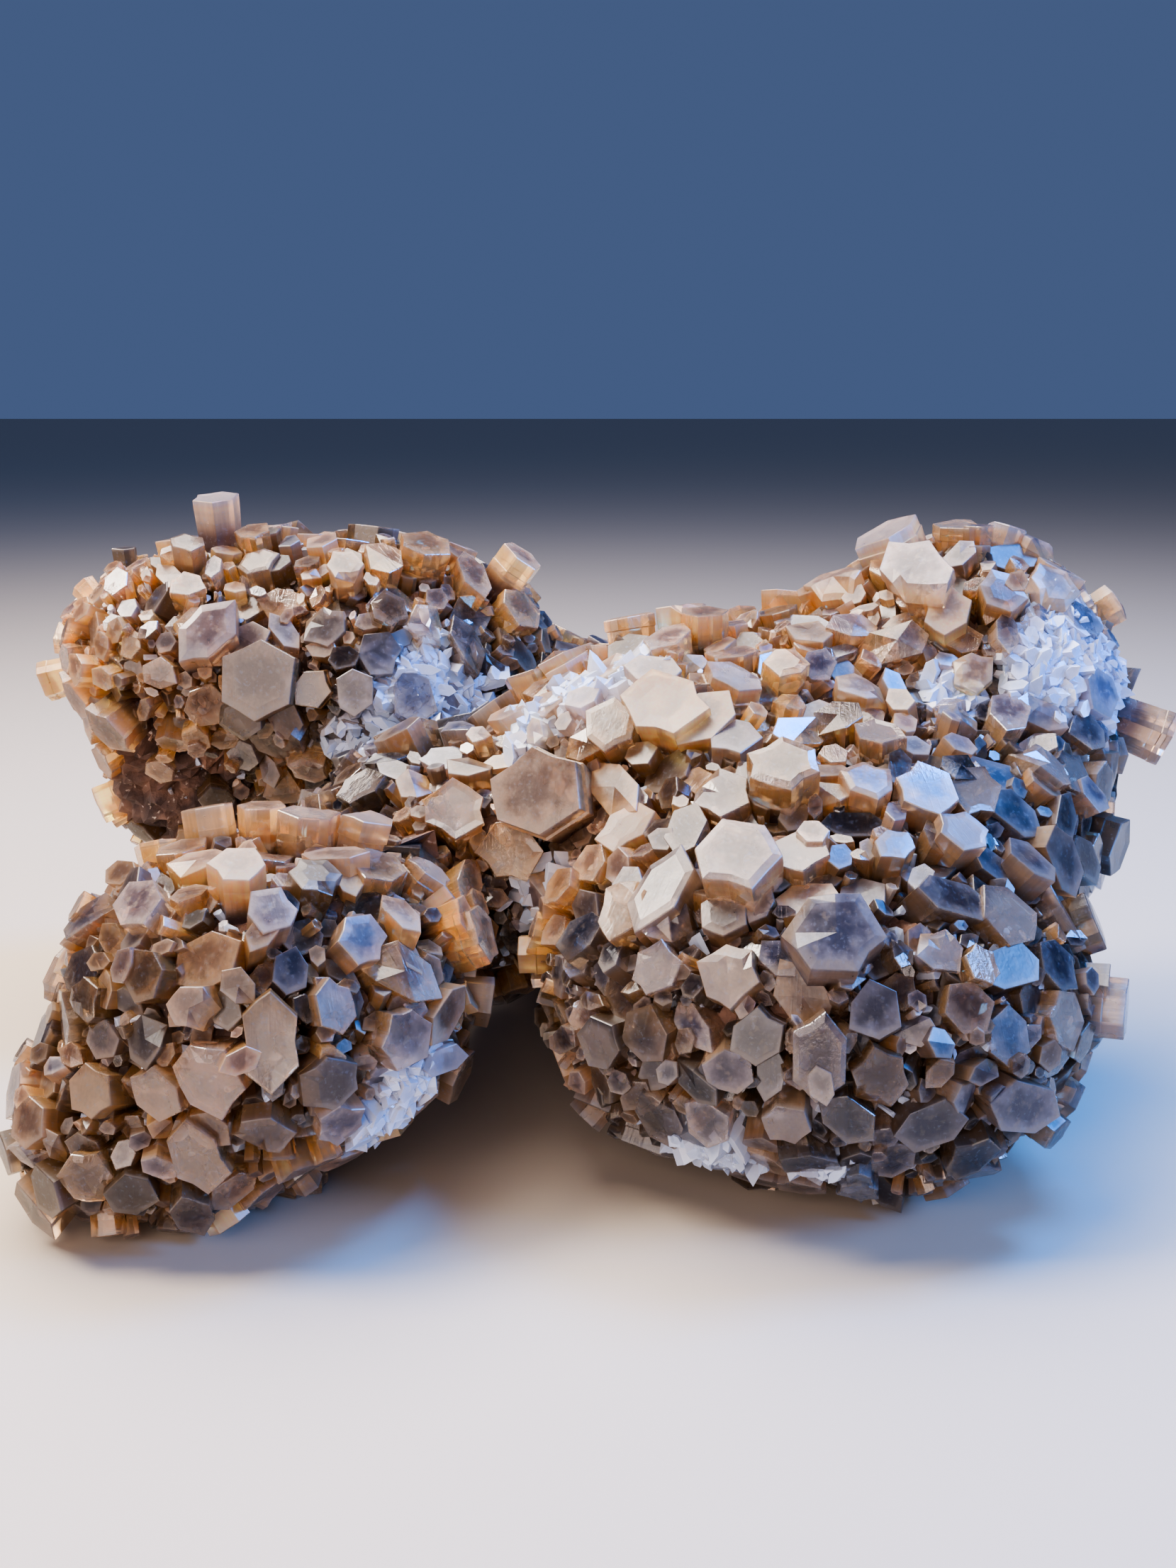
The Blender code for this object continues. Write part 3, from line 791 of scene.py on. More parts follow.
def add_mesh(name, points, faces, attributes, material):
    """An object from points in metres and a list of index arrays, one for each number of corners."""
    mesh = bpy.data.meshes.new(name)
    mesh.vertices.add(len(points))
    mesh.vertices.foreach_set("co", np.asarray(points, np.float32).ravel())
    loops = np.concatenate([group.ravel() for group in faces])
    totals = np.concatenate([np.full(len(group), group.shape[1]) for group in faces])
    mesh.loops.add(len(loops))
    mesh.loops.foreach_set("vertex_index", loops.astype(np.int32))
    mesh.polygons.add(len(totals))
    mesh.polygons.foreach_set("loop_start", (np.cumsum(totals) - totals).astype(np.int32))
    for label, (kind, values) in attributes.items():
        layer = mesh.attributes.new(label, kind, "POINT")
        field = "value" if kind == "FLOAT" else "vector"
        layer.data.foreach_set(field, np.asarray(values, np.float32).ravel())
    mesh.update(calc_edges=True)
    mesh.validate()
    mesh.shade_flat()
    mesh.materials.append(material)
    made = bpy.data.objects.new(name, mesh)
    bpy.context.scene.collection.objects.link(made)
    return made


def on_the_cluster(piece):
    """The piece rides on the row's one body and stands for the plain solid, which is hidden."""
    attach(piece, BODY)
    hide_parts(NODE)
    return piece


# %% [markdown]
# ## Many crystals in one mesh
# Thousands of objects would make Blender slow, so crystals that stand together become one mesh. The
# colours need to know where on its crystal a point is, so three attributes go along: the rim, the growth,
# and the nature of the crystal (how bright, how warm and how frosted it is).

# %% Crystal meshes
def without_unused(faces, count):
    """Which of the points a face uses, and the faces with those points renumbered."""
    used = np.zeros(count, bool)
    for group in faces:
        used[group] = True
    renumbered = np.cumsum(used) - 1
    return used, [renumbered[group] for group in faces]


def crystal_piece(name, sets, material):
    """One object from several sets, each a pair of a surface and its natures, one row a crystal."""
    points, rims, growths, natures, faces = [], [], [], [], []
    first = 0
    for surface, nature in sets:
        faces += crystal_polygons(surface, first)
        each = surface.rim.shape[1] * surface.rim.shape[2]
        points.append(surface.points.reshape(-1, 3))
        rims.append(surface.rim.ravel())
        growths.append(surface.growth.reshape(-1, 3))
        natures.append(np.repeat(nature, each, axis=0))
        first += len(points[-1])
    used, faces = without_unused(faces, first)
    attributes = {
        "rim": ("FLOAT", np.concatenate(rims)[used]),
        "growth": ("FLOAT_VECTOR", np.concatenate(growths)[used]),
        "nature": ("FLOAT_VECTOR", np.concatenate(natures)[used]),
    }
    points = np.concatenate(points)[used]
    points[:, 2] = np.maximum(points[:, 2], 0)
    piece = add_mesh(name, metres(points), faces, attributes, material)
    triangles = sum(len(group) * (group.shape[1] - 2) for group in faces)
    print(name, "has", triangles, "triangles")
    return on_the_cluster(piece)


# %% [markdown]
# ## Nodes as formulas
# A node tree written out link by link is hard to read, so a few helpers each add one node and hand back
# its output. They let a finish be written almost like a formula.

# %% Shader helpers
def put(tree, kind, inputs=None, **settings):
    """A node with its settings, and its inputs set to values or linked to sockets."""
    node = tree.nodes.new(kind)
    for name, value in settings.items():
        setattr(node, name, value)
    for name, value in (inputs or {}).items():
        if isinstance(value, bpy.types.NodeSocket):
            tree.links.new(value, node.inputs[name])
        else:
            node.inputs[name].default_value = value
    return node


def maths(tree, operation, first, second=0.0, third=0.0):
    """Numbers joined by a Math node."""
    node = put(tree, "ShaderNodeMath", {0: first, 1: second, 2: third}, operation=operation)
    return node.outputs[0]


def times(tree, first, second):
    """One number times another."""
    return maths(tree, "MULTIPLY", first, second)


def times_plus(tree, value, factor, offset):
    """A number times a factor, plus an offset."""
    return maths(tree, "MULTIPLY_ADD", value, factor, offset)


def ramp(tree, value, low, high):
    """0 at low, 1 at high, smooth between."""
    limits = {"Value": value, "From Min": low, "From Max": high}
    return put(tree, "ShaderNodeMapRange", limits, interpolation_type="SMOOTHSTEP").outputs["Result"]


# %% Helpers for colours and patterns
def blend(tree, share, first, second):
    """Colours mixed by a share."""
    node = put(tree, "ShaderNodeMix", data_type="RGBA")
    for index, value in ((0, share), (6, first), (7, second)):
        if isinstance(value, bpy.types.NodeSocket):
            tree.links.new(value, node.inputs[index])
        else:
            node.inputs[index].default_value = value if index == 0 else (*value, 1)
    return node.outputs[2]


def noise(tree, vector, scale, detail):
    """A noise from 0 to 1 on a place, with about as many lumps for each unit of length as its scale."""
    node = put(tree, "ShaderNodeTexNoise", {"Vector": vector, "Scale": scale, "Detail": detail})
    return node.outputs["Fac"]


def scaled(tree, vector, factors):
    """A place times three factors. A small one draws a noise out along that axis."""
    return put(tree, "ShaderNodeMapping", {"Vector": vector, "Scale": factors}).outputs[0]


def split(tree, vector):
    """The three numbers of a vector."""
    return put(tree, "ShaderNodeSeparateXYZ", {0: vector}).outputs


def new_group(name, inputs, outputs):
    """An empty node group with its sockets, the node inside that gives its inputs, and the one that
    takes its outputs."""
    group = bpy.data.node_groups.new(name, "ShaderNodeTree")
    for label, kind in inputs.items():
        group.interface.new_socket(label, in_out="INPUT", socket_type=f"NodeSocket{kind}")
    for label, kind in outputs.items():
        group.interface.new_socket(label, in_out="OUTPUT", socket_type=f"NodeSocket{kind}")
    return group, group.nodes.new("NodeGroupInput"), group.nodes.new("NodeGroupOutput")


# %% [markdown]
# ## Marks of growth
# A crystal keeps the marks of its growth: streaks along it, bands where growth paused, clouds and pale
# veils of what it closed in, and scratches. Bluish spots lie on it too, partly dust and partly a painted
# reflection of blue light. They could be painted, but there are thousands of crystals, so each mark is a
# noise on the crystal's own place, drawn out one way or another.

# %% Marks of growth
Marks = namedtuple("Marks", "streaks bands clouds veils scratches dust satin")


def growth_marks(tree, growth):
    """Each mark from 0 to 1. Streaks are drawn out along the axis, bands and scratches across it. Satin
    is a noise so slow that it differs from crystal to crystal, but hardly on one."""
    scratches = noise(tree, scaled(tree, growth, (0.25, 3.2, 0.3)), 1.0, 1)
    return Marks(
        streaks=noise(tree, scaled(tree, growth, (1, 1, 0.1)), 2.2, 2),
        bands=noise(tree, scaled(tree, growth, (0.05, 0.05, 1)), 1.1, 1),
        clouds=noise(tree, growth, 0.4, 2),
        veils=ramp(tree, noise(tree, growth, 0.75, 3), 0.54, 0.7),
        scratches=ramp(tree, scratches, 0.55, 0.8),
        dust=ramp(tree, noise(tree, growth, 1.6, 3), 0.58, 0.68),
        satin=ramp(tree, noise(tree, growth, 0.03, 0), 0.42, 0.55),
    )


# %% [markdown]
# ## Zones of colour
# Aragonite is clear, but clay and iron got into it as it grew. Seen down its axis a crystal is smoky in
# the middle, where there is most of it to look through down to its dark root, and pale at the rim, where
# light comes in through its sides: the smoky heart is painted shade and the pale rim a painted glow. Seen
# from the side it is honey or amber, and darker towards its root, painted shade deep between the
# crystals. A volume shader could give it real depth, but it is slow and is lost on export, so the zones
# are colours that follow the rim and the depth below the end.

# %% Zones of colour
# The first colour of a pair is that of a cool crystal, the second that of a warm one.
# The rim's colour is a painted glow, the heart's is painted shade, and the root's is painted shade deep
# between the crystals.
RIM_GLOW = ((0.58, 0.52, 0.56), (1.0, 0.62, 0.33))
HEART_SHADE = ((0.12, 0.115, 0.17), (0.46, 0.265, 0.15))
FLANK = ((0.66, 0.44, 0.29), (1.0, 0.57, 0.21))
VEIL = (0.98, 0.78, 0.58)
ROOT_SHADE = (0.10, 0.06, 0.06)
HEART_FADE = (0.25, 1.0)  # of the rim: where the heart begins to fade, and where it is gone
VEILED = 0.35  # how much of the colour a veil takes over
FLANK_FROM = (0.1, 1.2)  # mm below the end: where the flank's colour begins, and where it is full
ROOT_SHADE_FROM = (2.5, 6.5)


def zone_colour(tree, rim, below, warm, marks):
    """On the end a heart of painted shade that fades to a wavy rim of painted glow, with veils over
    both, then the flank, then the root's painted shade.
    """
    wavy_rim = maths(tree, "ADD", rim, times_plus(tree, marks.clouds, 1.3, -0.65))
    heart_shade_share = maths(tree, "SUBTRACT", 1.0, ramp(tree, wavy_rim, *HEART_FADE))
    colour = blend(tree, heart_shade_share, blend(tree, warm, *RIM_GLOW), blend(tree, warm, *HEART_SHADE))
    colour = blend(tree, times(tree, marks.veils, VEILED), colour, VEIL)
    colour = blend(tree, ramp(tree, below, *FLANK_FROM), colour, blend(tree, warm, *FLANK))
    return blend(tree, ramp(tree, below, *ROOT_SHADE_FROM), colour, ROOT_SHADE)


def shaded(tree, colour, bright, marks):
    """The colour times three numbers: the crystal's brightness, which carries painted shade, its streaks
    and its bands.
    """
    shade = times_plus(tree, bright, 1.1, 0.2)
    shade = times(tree, shade, times_plus(tree, marks.streaks, 0.7, 0.65))
    shade = times(tree, shade, times_plus(tree, marks.bands, 0.6, 0.7))
    return put(tree, "ShaderNodeVectorMath", {0: colour, "Scale": shade}, operation="SCALE").outputs[0]


# %% [markdown]
# ## Pale edges, bluish spots and frost
# Edges are paler than the faces beside them, partly rubbed and partly a painted highlight. Bluish
# spots lie on the crystals, partly dust and partly a painted reflection of blue light, and where water
# dripped later a white crust covers them, tinted blue by the same painted reflection. All three go over
# the zones, in that order. The finish is one node group, because the clear crystals and the frosted
# ones share it.

# %% The finish as a node group
# The worn edge's pale colour is partly a painted highlight.
WORN_EDGE_HIGHLIGHT = (0.95, 0.80, 0.66)
# The dust's bluish colour is partly a painted reflection of blue light.
DUST_AND_REFLECTION = (0.66, 0.74, 1.0)
# The frost's white is the crust's own, and its blue tint is a painted reflection of blue light.
FROST_WITH_BLUE_REFLECTION = (0.68, 0.79, 1.0)
WORN_HIGHLIGHT_SHARE = 0.35  # how much of the colour the worn, painted-highlight edge takes over, and how much the dust and painted reflection
DUST_AND_REFLECTION_SHARE = 0.22


def weathered_with_painted_light(tree, colour, rim, below, frost, marks):
    """The colour under worn, painted-highlight edges, dust with a painted blue reflection, and frost with
    a painted blue tint. An edge is where the rim is near 1 and the end near.
    """
    edge = times(tree, ramp(tree, rim, 0.8, 1.0), ramp(tree, below, 0.5, 0.1))
    colour = blend(tree, times(tree, edge, WORN_HIGHLIGHT_SHARE), colour, WORN_EDGE_HIGHLIGHT)
    colour = blend(tree, times(tree, marks.dust, DUST_AND_REFLECTION_SHARE), colour, DUST_AND_REFLECTION)
    return blend(tree, frost, colour, FROST_WITH_BLUE_REFLECTION)


def growth_zones():
    """Colour, roughness and relief by place. Roughness is a little for all, more where the clouds are
    thick, more on satin crystals and more under frost. Relief adds streaks, clouds and scratches."""
    group, given, wanted = new_group(
        "growth_zones",
        {"Rim": "Float", "Growth": "Vector", "Nature": "Vector"},
        {"Colour": "Color", "Roughness": "Float", "Relief": "Float"},
    )
    rim, growth, nature = given.outputs[:3]
    bright, warm, frost = split(group, nature)
    below = times(group, split(group, growth)[2], -1.0)
    marks = growth_marks(group, growth)
    colour = shaded(group, zone_colour(group, rim, below, warm, marks), bright, marks)
    colour = weathered_with_painted_light(group, colour, rim, below, frost, marks)
    rough = times_plus(group, marks.satin, 0.20, times_plus(group, marks.clouds, 0.2, 0.02))
    rough = times_plus(group, frost, 0.12, rough)
    relief = maths(group, "ADD", times(group, marks.streaks, 0.5), marks.clouds)
    relief = maths(group, "ADD", relief, times(group, marks.scratches, 0.4))
    for label, value in (("Colour", colour), ("Roughness", rough), ("Relief", relief)):
        group.links.new(value, wanted.inputs[label])
    return group


zones_group = growth_zones()
print("the group", zones_group.name, "has", len(zones_group.nodes), "nodes")

# %% [markdown]
# ## The crystals' finish
# Part of the light goes through a crystal and comes back out of its neighbours, which is why the real
# cluster glows where it is lit. Colour alone can't do that, so most of the light is let through: plain
# transmission, with an index of refraction close to aragonite's. The frosted ones let less through.

# %% Crystal finish
INDEX = 1.55
CLEAR = 0.85  # the share of the light that goes through
CLEAR_UNDER_FROST = 0.4  # the same for the druse and the crust of frost
BUMP_STRENGTH = 0.08
BUMP_HEIGHT = 0.0004  # metres


def aragonite(name, clear):
    """Honey-coloured crystal. The clear share of the light goes through it."""
    material = bpy.data.materials.new(name)
    material.use_nodes = True
    tree = material.node_tree
    surface = tree.nodes["Principled BSDF"]
    zones = put(tree, "ShaderNodeGroup", node_tree=zones_group)
    for label, output in (("rim", "Fac"), ("growth", "Vector"), ("nature", "Vector")):
        given = put(tree, "ShaderNodeAttribute", attribute_name=label)
        tree.links.new(given.outputs[output], zones.inputs[label.capitalize()])
    tree.links.new(zones.outputs["Colour"], surface.inputs["Base Color"])
    tree.links.new(zones.outputs["Roughness"], surface.inputs["Roughness"])
    relief = {"Strength": BUMP_STRENGTH, "Distance": BUMP_HEIGHT, "Height": zones.outputs["Relief"]}
    tree.links.new(put(tree, "ShaderNodeBump", relief).outputs[0], surface.inputs["Normal"])
    surface.inputs["IOR"].default_value = INDEX
    surface.inputs["Transmission Weight"].default_value = clear
    return material


crystal_finish = aragonite("aragonite", CLEAR)
frost_finish = aragonite("frosted_aragonite", CLEAR_UNDER_FROST)
print("finishes:", crystal_finish.name, "and", frost_finish.name)

# %% [markdown]
# ## The moods of the cluster
# One finish serves all crystals, so what differs goes into the nature attribute. Brightness and warmth
# change slowly over the cluster, and a little from crystal to crystal. Part of it is the crystals' own
# tone, because a lobe grew in one kind of clay, and part is painted light: cool, dark moods on the lower
# right stand for blue light and shade there, and bright ones on top for the light that falls there. A
# gradient would be too even, so a few places hold a mood, and each crystal takes a mean of them in which
# the near ones count most.

# %% Moods
# A place in mm, and how bright and how warm the crystals round it are, from 0 to 1, painted light
# included.
Mood = namedtuple("Mood", "place bright warm")
MOODS = (
    Mood((-68, 18, 62), 0.95, 0.80),
    Mood((-58, 8, 50), 0.80, 0.75),
    Mood((-38, 14, 76), 0.75, 0.80),
    Mood((-32, 6, 46), 0.25, 0.35),
    Mood((6, -18, 64), 0.80, 0.90),
    Mood((22, -40, 54), 0.65, 0.85),
    Mood((26, -64, 34), 0.40, 0.35),
    Mood((50, -50, 14), 0.35, 0.20),
    Mood((60, -40, 42), 0.40, 0.15),
    Mood((42, -6, 74), 0.75, 0.85),
    Mood((74, -6, 60), 0.55, 0.20),
    Mood((-42, -52, 46), 0.70, 0.85),
    Mood((-42, -68, 24), 0.50, 0.75),
    Mood((-66, -62, 14), 0.50, 0.70),
    Mood((4, 60, 34), 0.50, 0.55),
)
MOOD_REACH = 16.0  # mm, where a mood counts for about a third of what it does in its middle
BRIGHTEST = 1.15
MOOD_SPREAD = 0.33  # how far a crystal may differ from its surroundings
SUNK_SHADE = 0.3  # painted shade: how much brightness an end loses for each mm that it is sunk
DARKEST_SUNK = 0.15  # the share of its brightness that any end keeps


def moods_at(ends, spread):
    """Brightness and warmth at each end: the moods weighted by a bell curve of how far they are, a
    random share on top, and painted shade that darkens an end the deeper it is sunk."""
    places = np.array([mood.place for mood in MOODS])
    values = np.array([(mood.bright, mood.warm) for mood in MOODS])
    apart = np.linalg.norm(ends[:, None] - places, axis=2)
    weight = np.exp(-((apart / MOOD_REACH) ** 2)) + 1e-6
    mean = weight @ values / weight.sum(axis=1, keepdims=True)
    mean = np.clip(mean + rng.normal(scale=spread, size=mean.shape), 0, BRIGHTEST)
    mean[:, 0] *= np.clip(1 + SUNK_SHADE * outside(ends), DARKEST_SUNK, 1)
    return mean


print(len(MOODS), "moods, the brightest", max(mood.bright for mood in MOODS))

# %% [markdown]
# ## Frosted patches
# Where water dripped on the cluster later, a white frost covers a few patches. Painting it by hand would
# take a map for each crystal, so a patch is a place and a reach, and a crystal is frosted by how near it
# is. Wide crystals shed most of it.

# %% Frosted patches
FROST = (
    Patch((-25, 5, 58), 9),
    Patch((-21, 7, 53), 8),
    Patch((-18, 8, 50), 6),
    Patch((-34, 6, 49), 6),
    Patch((-9, -18, 58), 5),
    Patch((-2, -18, 63), 6),
    Patch((6, -16, 66), 5),
    Patch((70, -8, 70), 8),
    Patch((74, -8, 62), 8),
    Patch((65, -13, 63), 6),
    Patch((77, -2, 60), 5),
    Patch((51, -15, 60), 4),
    Patch((-5, -28, 35), 6),
    Patch((15, -57, 9), 6),
    Patch((30, -62, 10), 4),
    Patch((-20, -60, 21), 5),
    Patch((-24, -60, 14), 5),
    Patch((-40, 46, 66), 8),
    Patch((30, 52, 44), 7),
)
print(len(FROST), "frosted patches")

# %% Natures
FROST_EDGE = 1.25  # a patch ends at this many times its reach
FROST_RISE = 1.4  # how fast frost thickens towards the middle of a patch
FROST_SPREAD = 0.25


def frost_at(crystals):
    """The frost on each crystal: it falls off from the middle of each patch, with a random share. A
    crystal up to 1.8 mm wide keeps all of it, and one of 6.9 mm or more keeps 15%."""
    apart = np.linalg.norm(crystals.end[:, None] - [patch.place for patch in FROST], axis=2)
    near = FROST_EDGE - (apart / [patch.reach for patch in FROST]).min(axis=1)
    spread = rng.normal(scale=FROST_SPREAD, size=len(near))
    frost = np.clip(near * FROST_RISE + spread, 0, 1) * (near > 0)
    return frost * np.clip(1.3 - crystals.width / 6, 0.15, 1)


def natures(crystals, spread=MOOD_SPREAD):
    """Brightness, warmth and frost of each crystal, one row a crystal."""
    return np.column_stack((moods_at(crystals.end, spread), frost_at(crystals)))


# %% [markdown]
# ## The crystals as pieces
# One mesh for everything would be thinned on the way out, so the crystals go into one piece for each
# part of the cluster, by the lobe whose surface their end is nearest to. Large crystals have grooves,
# terraces and ledges. On middling and small ones nobody would see them, so they are plain.

# %% Crystal pieces
PIECES = {
    "crystals_front_left": ("front_left", "front_left_toe"),
    "crystals_right": ("right", "right_flank", "right_heel"),
    "crystals_saddle": ("saddle", "core", "right_bridge", "right_breast", "right_shoulder"),
    "crystals_upper_right": ("upper_right", "right_neck"),
    "crystals_back_left": ("back_left", "back_left_tip", "back_left_root"),
    "crystals_rear": ("rear",),
}
# The crystals of a piece come in three widths. Each has its bevel in mm, and for some also the steepest
# tilt of an end and the share of the ends that are cut.
SHAPES = (
    (large, {"grooved": True, "bevel": 0.12, "tilt": 0.05, "cut": 0.35}),
    (middling, {"bevel": 0.1}),
    (small, {"bevel": 0.06}),
)


def nearest_lobe(points):
    """The index of the lobe whose surface each point is nearest to, by its scaled distance."""
    scaled = np.linalg.norm((points[:, None] - CENTRES) / RADII, axis=2)
    return np.abs(scaled - 1).argmin(axis=1)


for name, lobe_names in PIECES.items():
    wanted = [list(LOBES).index(lobe_name) for lobe_name in lobe_names]
    sets = []
    for crystals, shape in SHAPES:
        chosen = some(crystals, np.isin(nearest_lobe(crystals.end), wanted))
        sets.append((crystal_surfaces(chosen, **shape), natures(chosen)))
    crystal_piece(name, sets, crystal_finish)

# %% [markdown]
# ## The clay's finish
# The root of the cluster is crumbly brown clay with pale grains in it. Real crumbs would take millions of
# faces, so the large ones come from the mesh and the small ones from two noises: one gives the patches of
# light and dark clay, the other the grains, and both together the bump.

# %% Clay finish
CLAY_DARK = (0.045, 0.026, 0.022)
CLAY_LIGHT = (0.19, 0.10, 0.065)
GRAINS = (0.42, 0.33, 0.27)
PATCHES_PER_METRE = 120
GRAINS_PER_METRE = 900
CLAY_BUMP = 0.7
CLAY_BUMP_HEIGHT = 0.0006  # metres
CLAY_ROUGHNESS = 0.85


def matrix_finish():
    """Crumbly brown clay with pale grains."""
    material = bpy.data.materials.new("matrix")
    material.use_nodes = True
    tree = material.node_tree
    surface = tree.nodes["Principled BSDF"]
    place = put(tree, "ShaderNodeTexCoord").outputs["Object"]
    broad, fine = noise(tree, place, PATCHES_PER_METRE, 4), noise(tree, place, GRAINS_PER_METRE, 4)
    colour = blend(tree, ramp(tree, broad, 0.35, 0.7), CLAY_DARK, CLAY_LIGHT)
    colour = blend(tree, ramp(tree, fine, 0.62, 0.75), colour, GRAINS)
    tree.links.new(colour, surface.inputs["Base Color"])
    both = maths(tree, "ADD", broad, fine)
    relief = {"Strength": CLAY_BUMP, "Distance": CLAY_BUMP_HEIGHT, "Height": both}
    tree.links.new(put(tree, "ShaderNodeBump", relief).outputs[0], surface.inputs["Normal"])
    surface.inputs["Roughness"].default_value = CLAY_ROUGHNESS
    return material


matrix = matrix_finish()
print("finish:", matrix.name)

# %% [markdown]
# ## The ground the crystals stand in
# Between the crystals one looks down onto their dark, crumbly root. It follows the same surface a few
# millimetres down. A mesh of that surface could be marched through a grid of distances. It is simpler to
# let a voxel remesh fuse the lobes' ellipsoids, because Newton's method puts its points right afterwards.

# %% Shells of the lobes
AROUND = 48  # points round an ellipsoid, and steps from its lower pole to its upper one
UPWARD = 24
GROUND_DEPTH = 3.4  # mm below the cluster's surface


def ball_points():
    """Points of a ball of radius one, row by row: the cosines of turn and lift for the two level
    directions and the sine of the lift for the third, with one point for each pole at the end."""
    turn = np.linspace(0, 2 * math.pi, AROUND, endpoint=False)
    lift = np.linspace(-math.pi / 2, math.pi / 2, UPWARD + 1)[1:-1, None]
    level = np.cos(lift)
    rows = np.broadcast_arrays(level * np.cos(turn), level * np.sin(turn), np.sin(lift))
    return np.concatenate((np.stack(rows, axis=2).reshape(-1, 3), ((0, 0, -1), (0, 0, 1))))


def ball_faces():
    """Quads between the rows and a fan of triangles round each pole."""
    row = np.arange(UPWARD - 2)[:, None] * AROUND
    side = np.arange(AROUND)
    after = (side + 1) % AROUND
    quads = np.stack((row + side, row + after, row + AROUND + after, row + AROUND + side), axis=2)
    last = (UPWARD - 2) * AROUND
    south, north = last + AROUND, last + AROUND + 1
    caps = np.concatenate((
        np.stack((after, side, np.full(AROUND, south)), axis=1),
        np.stack((last + side, last + after, np.full(AROUND, north)), axis=1),
    ))
    return quads.reshape(-1, 4), caps


# %% Fusing the shells
GROUND_VOXEL = 1.2  # mm


def lobe_shells():
    """The ellipsoids of all lobes, each drawn in by the depth of the ground: their points in mm, and
    their faces."""
    ball = ball_points()
    points = CENTRES[:, None] + ball * (RADII[:, None] - GROUND_DEPTH)
    faces = [group + index * len(ball) for index in range(len(LOBES)) for group in ball_faces()]
    return points.reshape(-1, 3), faces


def fused(shell):
    """One closed mesh instead of many that cross. The object that it comes from is deleted."""
    fuse = shell.modifiers.new("fuse", "REMESH")
    fuse.mode = "VOXEL"
    fuse.voxel_size = GROUND_VOXEL * MM
    view = bpy.context.evaluated_depsgraph_get()
    mesh = bpy.data.meshes.new_from_object(shell.evaluated_get(view))
    bpy.data.objects.remove(shell)
    return mesh


shell_points, shell_faces = lobe_shells()
ground_mesh = fused(add_mesh("shell", metres(shell_points), shell_faces, {}, matrix))
print("the fused lobes have", len(ground_mesh.polygons), "faces")

# %% [markdown]
# ## Crumbs and lumps
# Clay breaks into lumps of a few millimetres, and its patch at the back left stands almost as high as the
# crystals. A displacement texture would do for the lumps, but each point is moved onto its depth anyway,
# so they are part of that depth: waves of about 5 mm and of about 3 mm, with more of the short ones in
# the clay.

# %% Settling the ground
LUMP_WAVES = 14
BROAD_LUMPS = (5.0, 3)  # their length in mm, and the seed of their directions
FINE_LUMPS = (3.2, 8)
FINE_OUTSIDE = 0.3  # how much there is of the fine lumps outside the clay
LUMP_SPREAD = (0.6, 1.7)  # how much closer together than their length the waves may be
CLAY_RISE = 0.8  # how much of the ground's depth the clay fills up
LONGEST_MOVE = 2  # mm in one Newton step, so that no point jumps to another lobe


def lumps(points, length, seed):
    """Small lumps at the points: plane waves in random directions, added up and scaled to run from
    about -1 to 1."""
    random = np.random.RandomState(seed)
    toward = unit(random.normal(size=(LUMP_WAVES, 3))) * (2 * math.pi / length)
    toward = toward * random.uniform(*LUMP_SPREAD, (LUMP_WAVES, 1))
    phase = random.uniform(0, 6.3, LUMP_WAVES)
    return np.sin(points @ toward.T + phase).sum(axis=1) / 4


def ground_depth(points):
    """How deep the ground lies under the cluster's surface: less in the clay, and less on lumps."""
    clay = clay_share(points)
    crumbs = lumps(points, *BROAD_LUMPS) + (FINE_OUTSIDE + clay) * lumps(points, *FINE_LUMPS)
    return GROUND_DEPTH * (1 - CLAY_RISE * clay) - crumbs


ground_points = np.empty(len(ground_mesh.vertices) * 3, np.float32)
ground_mesh.vertices.foreach_get("co", ground_points)
ground_points = ground_points.reshape(-1, 3) / MM + (*MIDDLE, 0.0)
for _ in range(NEWTON_STEPS):
    depth, slope = ground_depth(ground_points), uphill(ground_points)
    short = np.clip(outside(ground_points) + depth, -LONGEST_MOVE, LONGEST_MOVE)[:, None]
    ground_points = ground_points - short * slope / (slope**2).sum(axis=1)[:, None]
ground_points[:, 2] = np.maximum(ground_points[:, 2], FLOOR_GAP)
print("the ground reaches", ground_points[:, 2].max().round(1), "mm above the floor")

# %% The ground as a piece
ground_mesh.vertices.foreach_set("co", metres(ground_points).astype(np.float32).ravel())
ground_mesh.update()
ground_mesh.name = "ground"
ground_mesh.materials.clear()
ground_mesh.materials.append(matrix)
ground = bpy.data.objects.new("ground", ground_mesh)
bpy.context.scene.collection.objects.link(ground)
on_the_cluster(ground)
print("the ground has", len(ground_mesh.polygons), "faces")

# %% [markdown]
# ## Druse
# The crevices glitter with crystals of a millimetre or so. A shiny speckled finish would be cheaper, but
# it has no depth of its own. They are so small that a plain six-sided prism is enough, so they are thrown
# like the others, lower than them, and kept wherever they aren't inside a larger one.

# %% Druse
DRUSE_TRIES = 18500
DRUSE_WIDTHS = (0.08, 0.2)  # shares of the widest on their lobe
DRUSE_RISES = (-3.2, 0.3)  # mm
DRUSE_LEAN = 40  # degrees
DRUSE_STRETCHES = (1.0, 1.8)
DRUSE_LENGTH = 1.5  # mm longer than it is wide
CLEAR_SHARE = 0.8  # of a larger crystal's half width, within which there is no druse
CHUNKS = 24


def clear_of(standing, coming, closeness):
    """The coming crystals whose ends aren't inside a standing one, in chunks to save memory."""
    kept = []
    for chunk in np.array_split(np.arange(len(coming.width)), CHUNKS):
        apart = np.linalg.norm(coming.end[chunk, None] - standing.end, axis=2)
        kept.append(chunk[(apart > closeness * standing.width / 2).all(axis=1)])
    return some(coming, np.concatenate(kept))


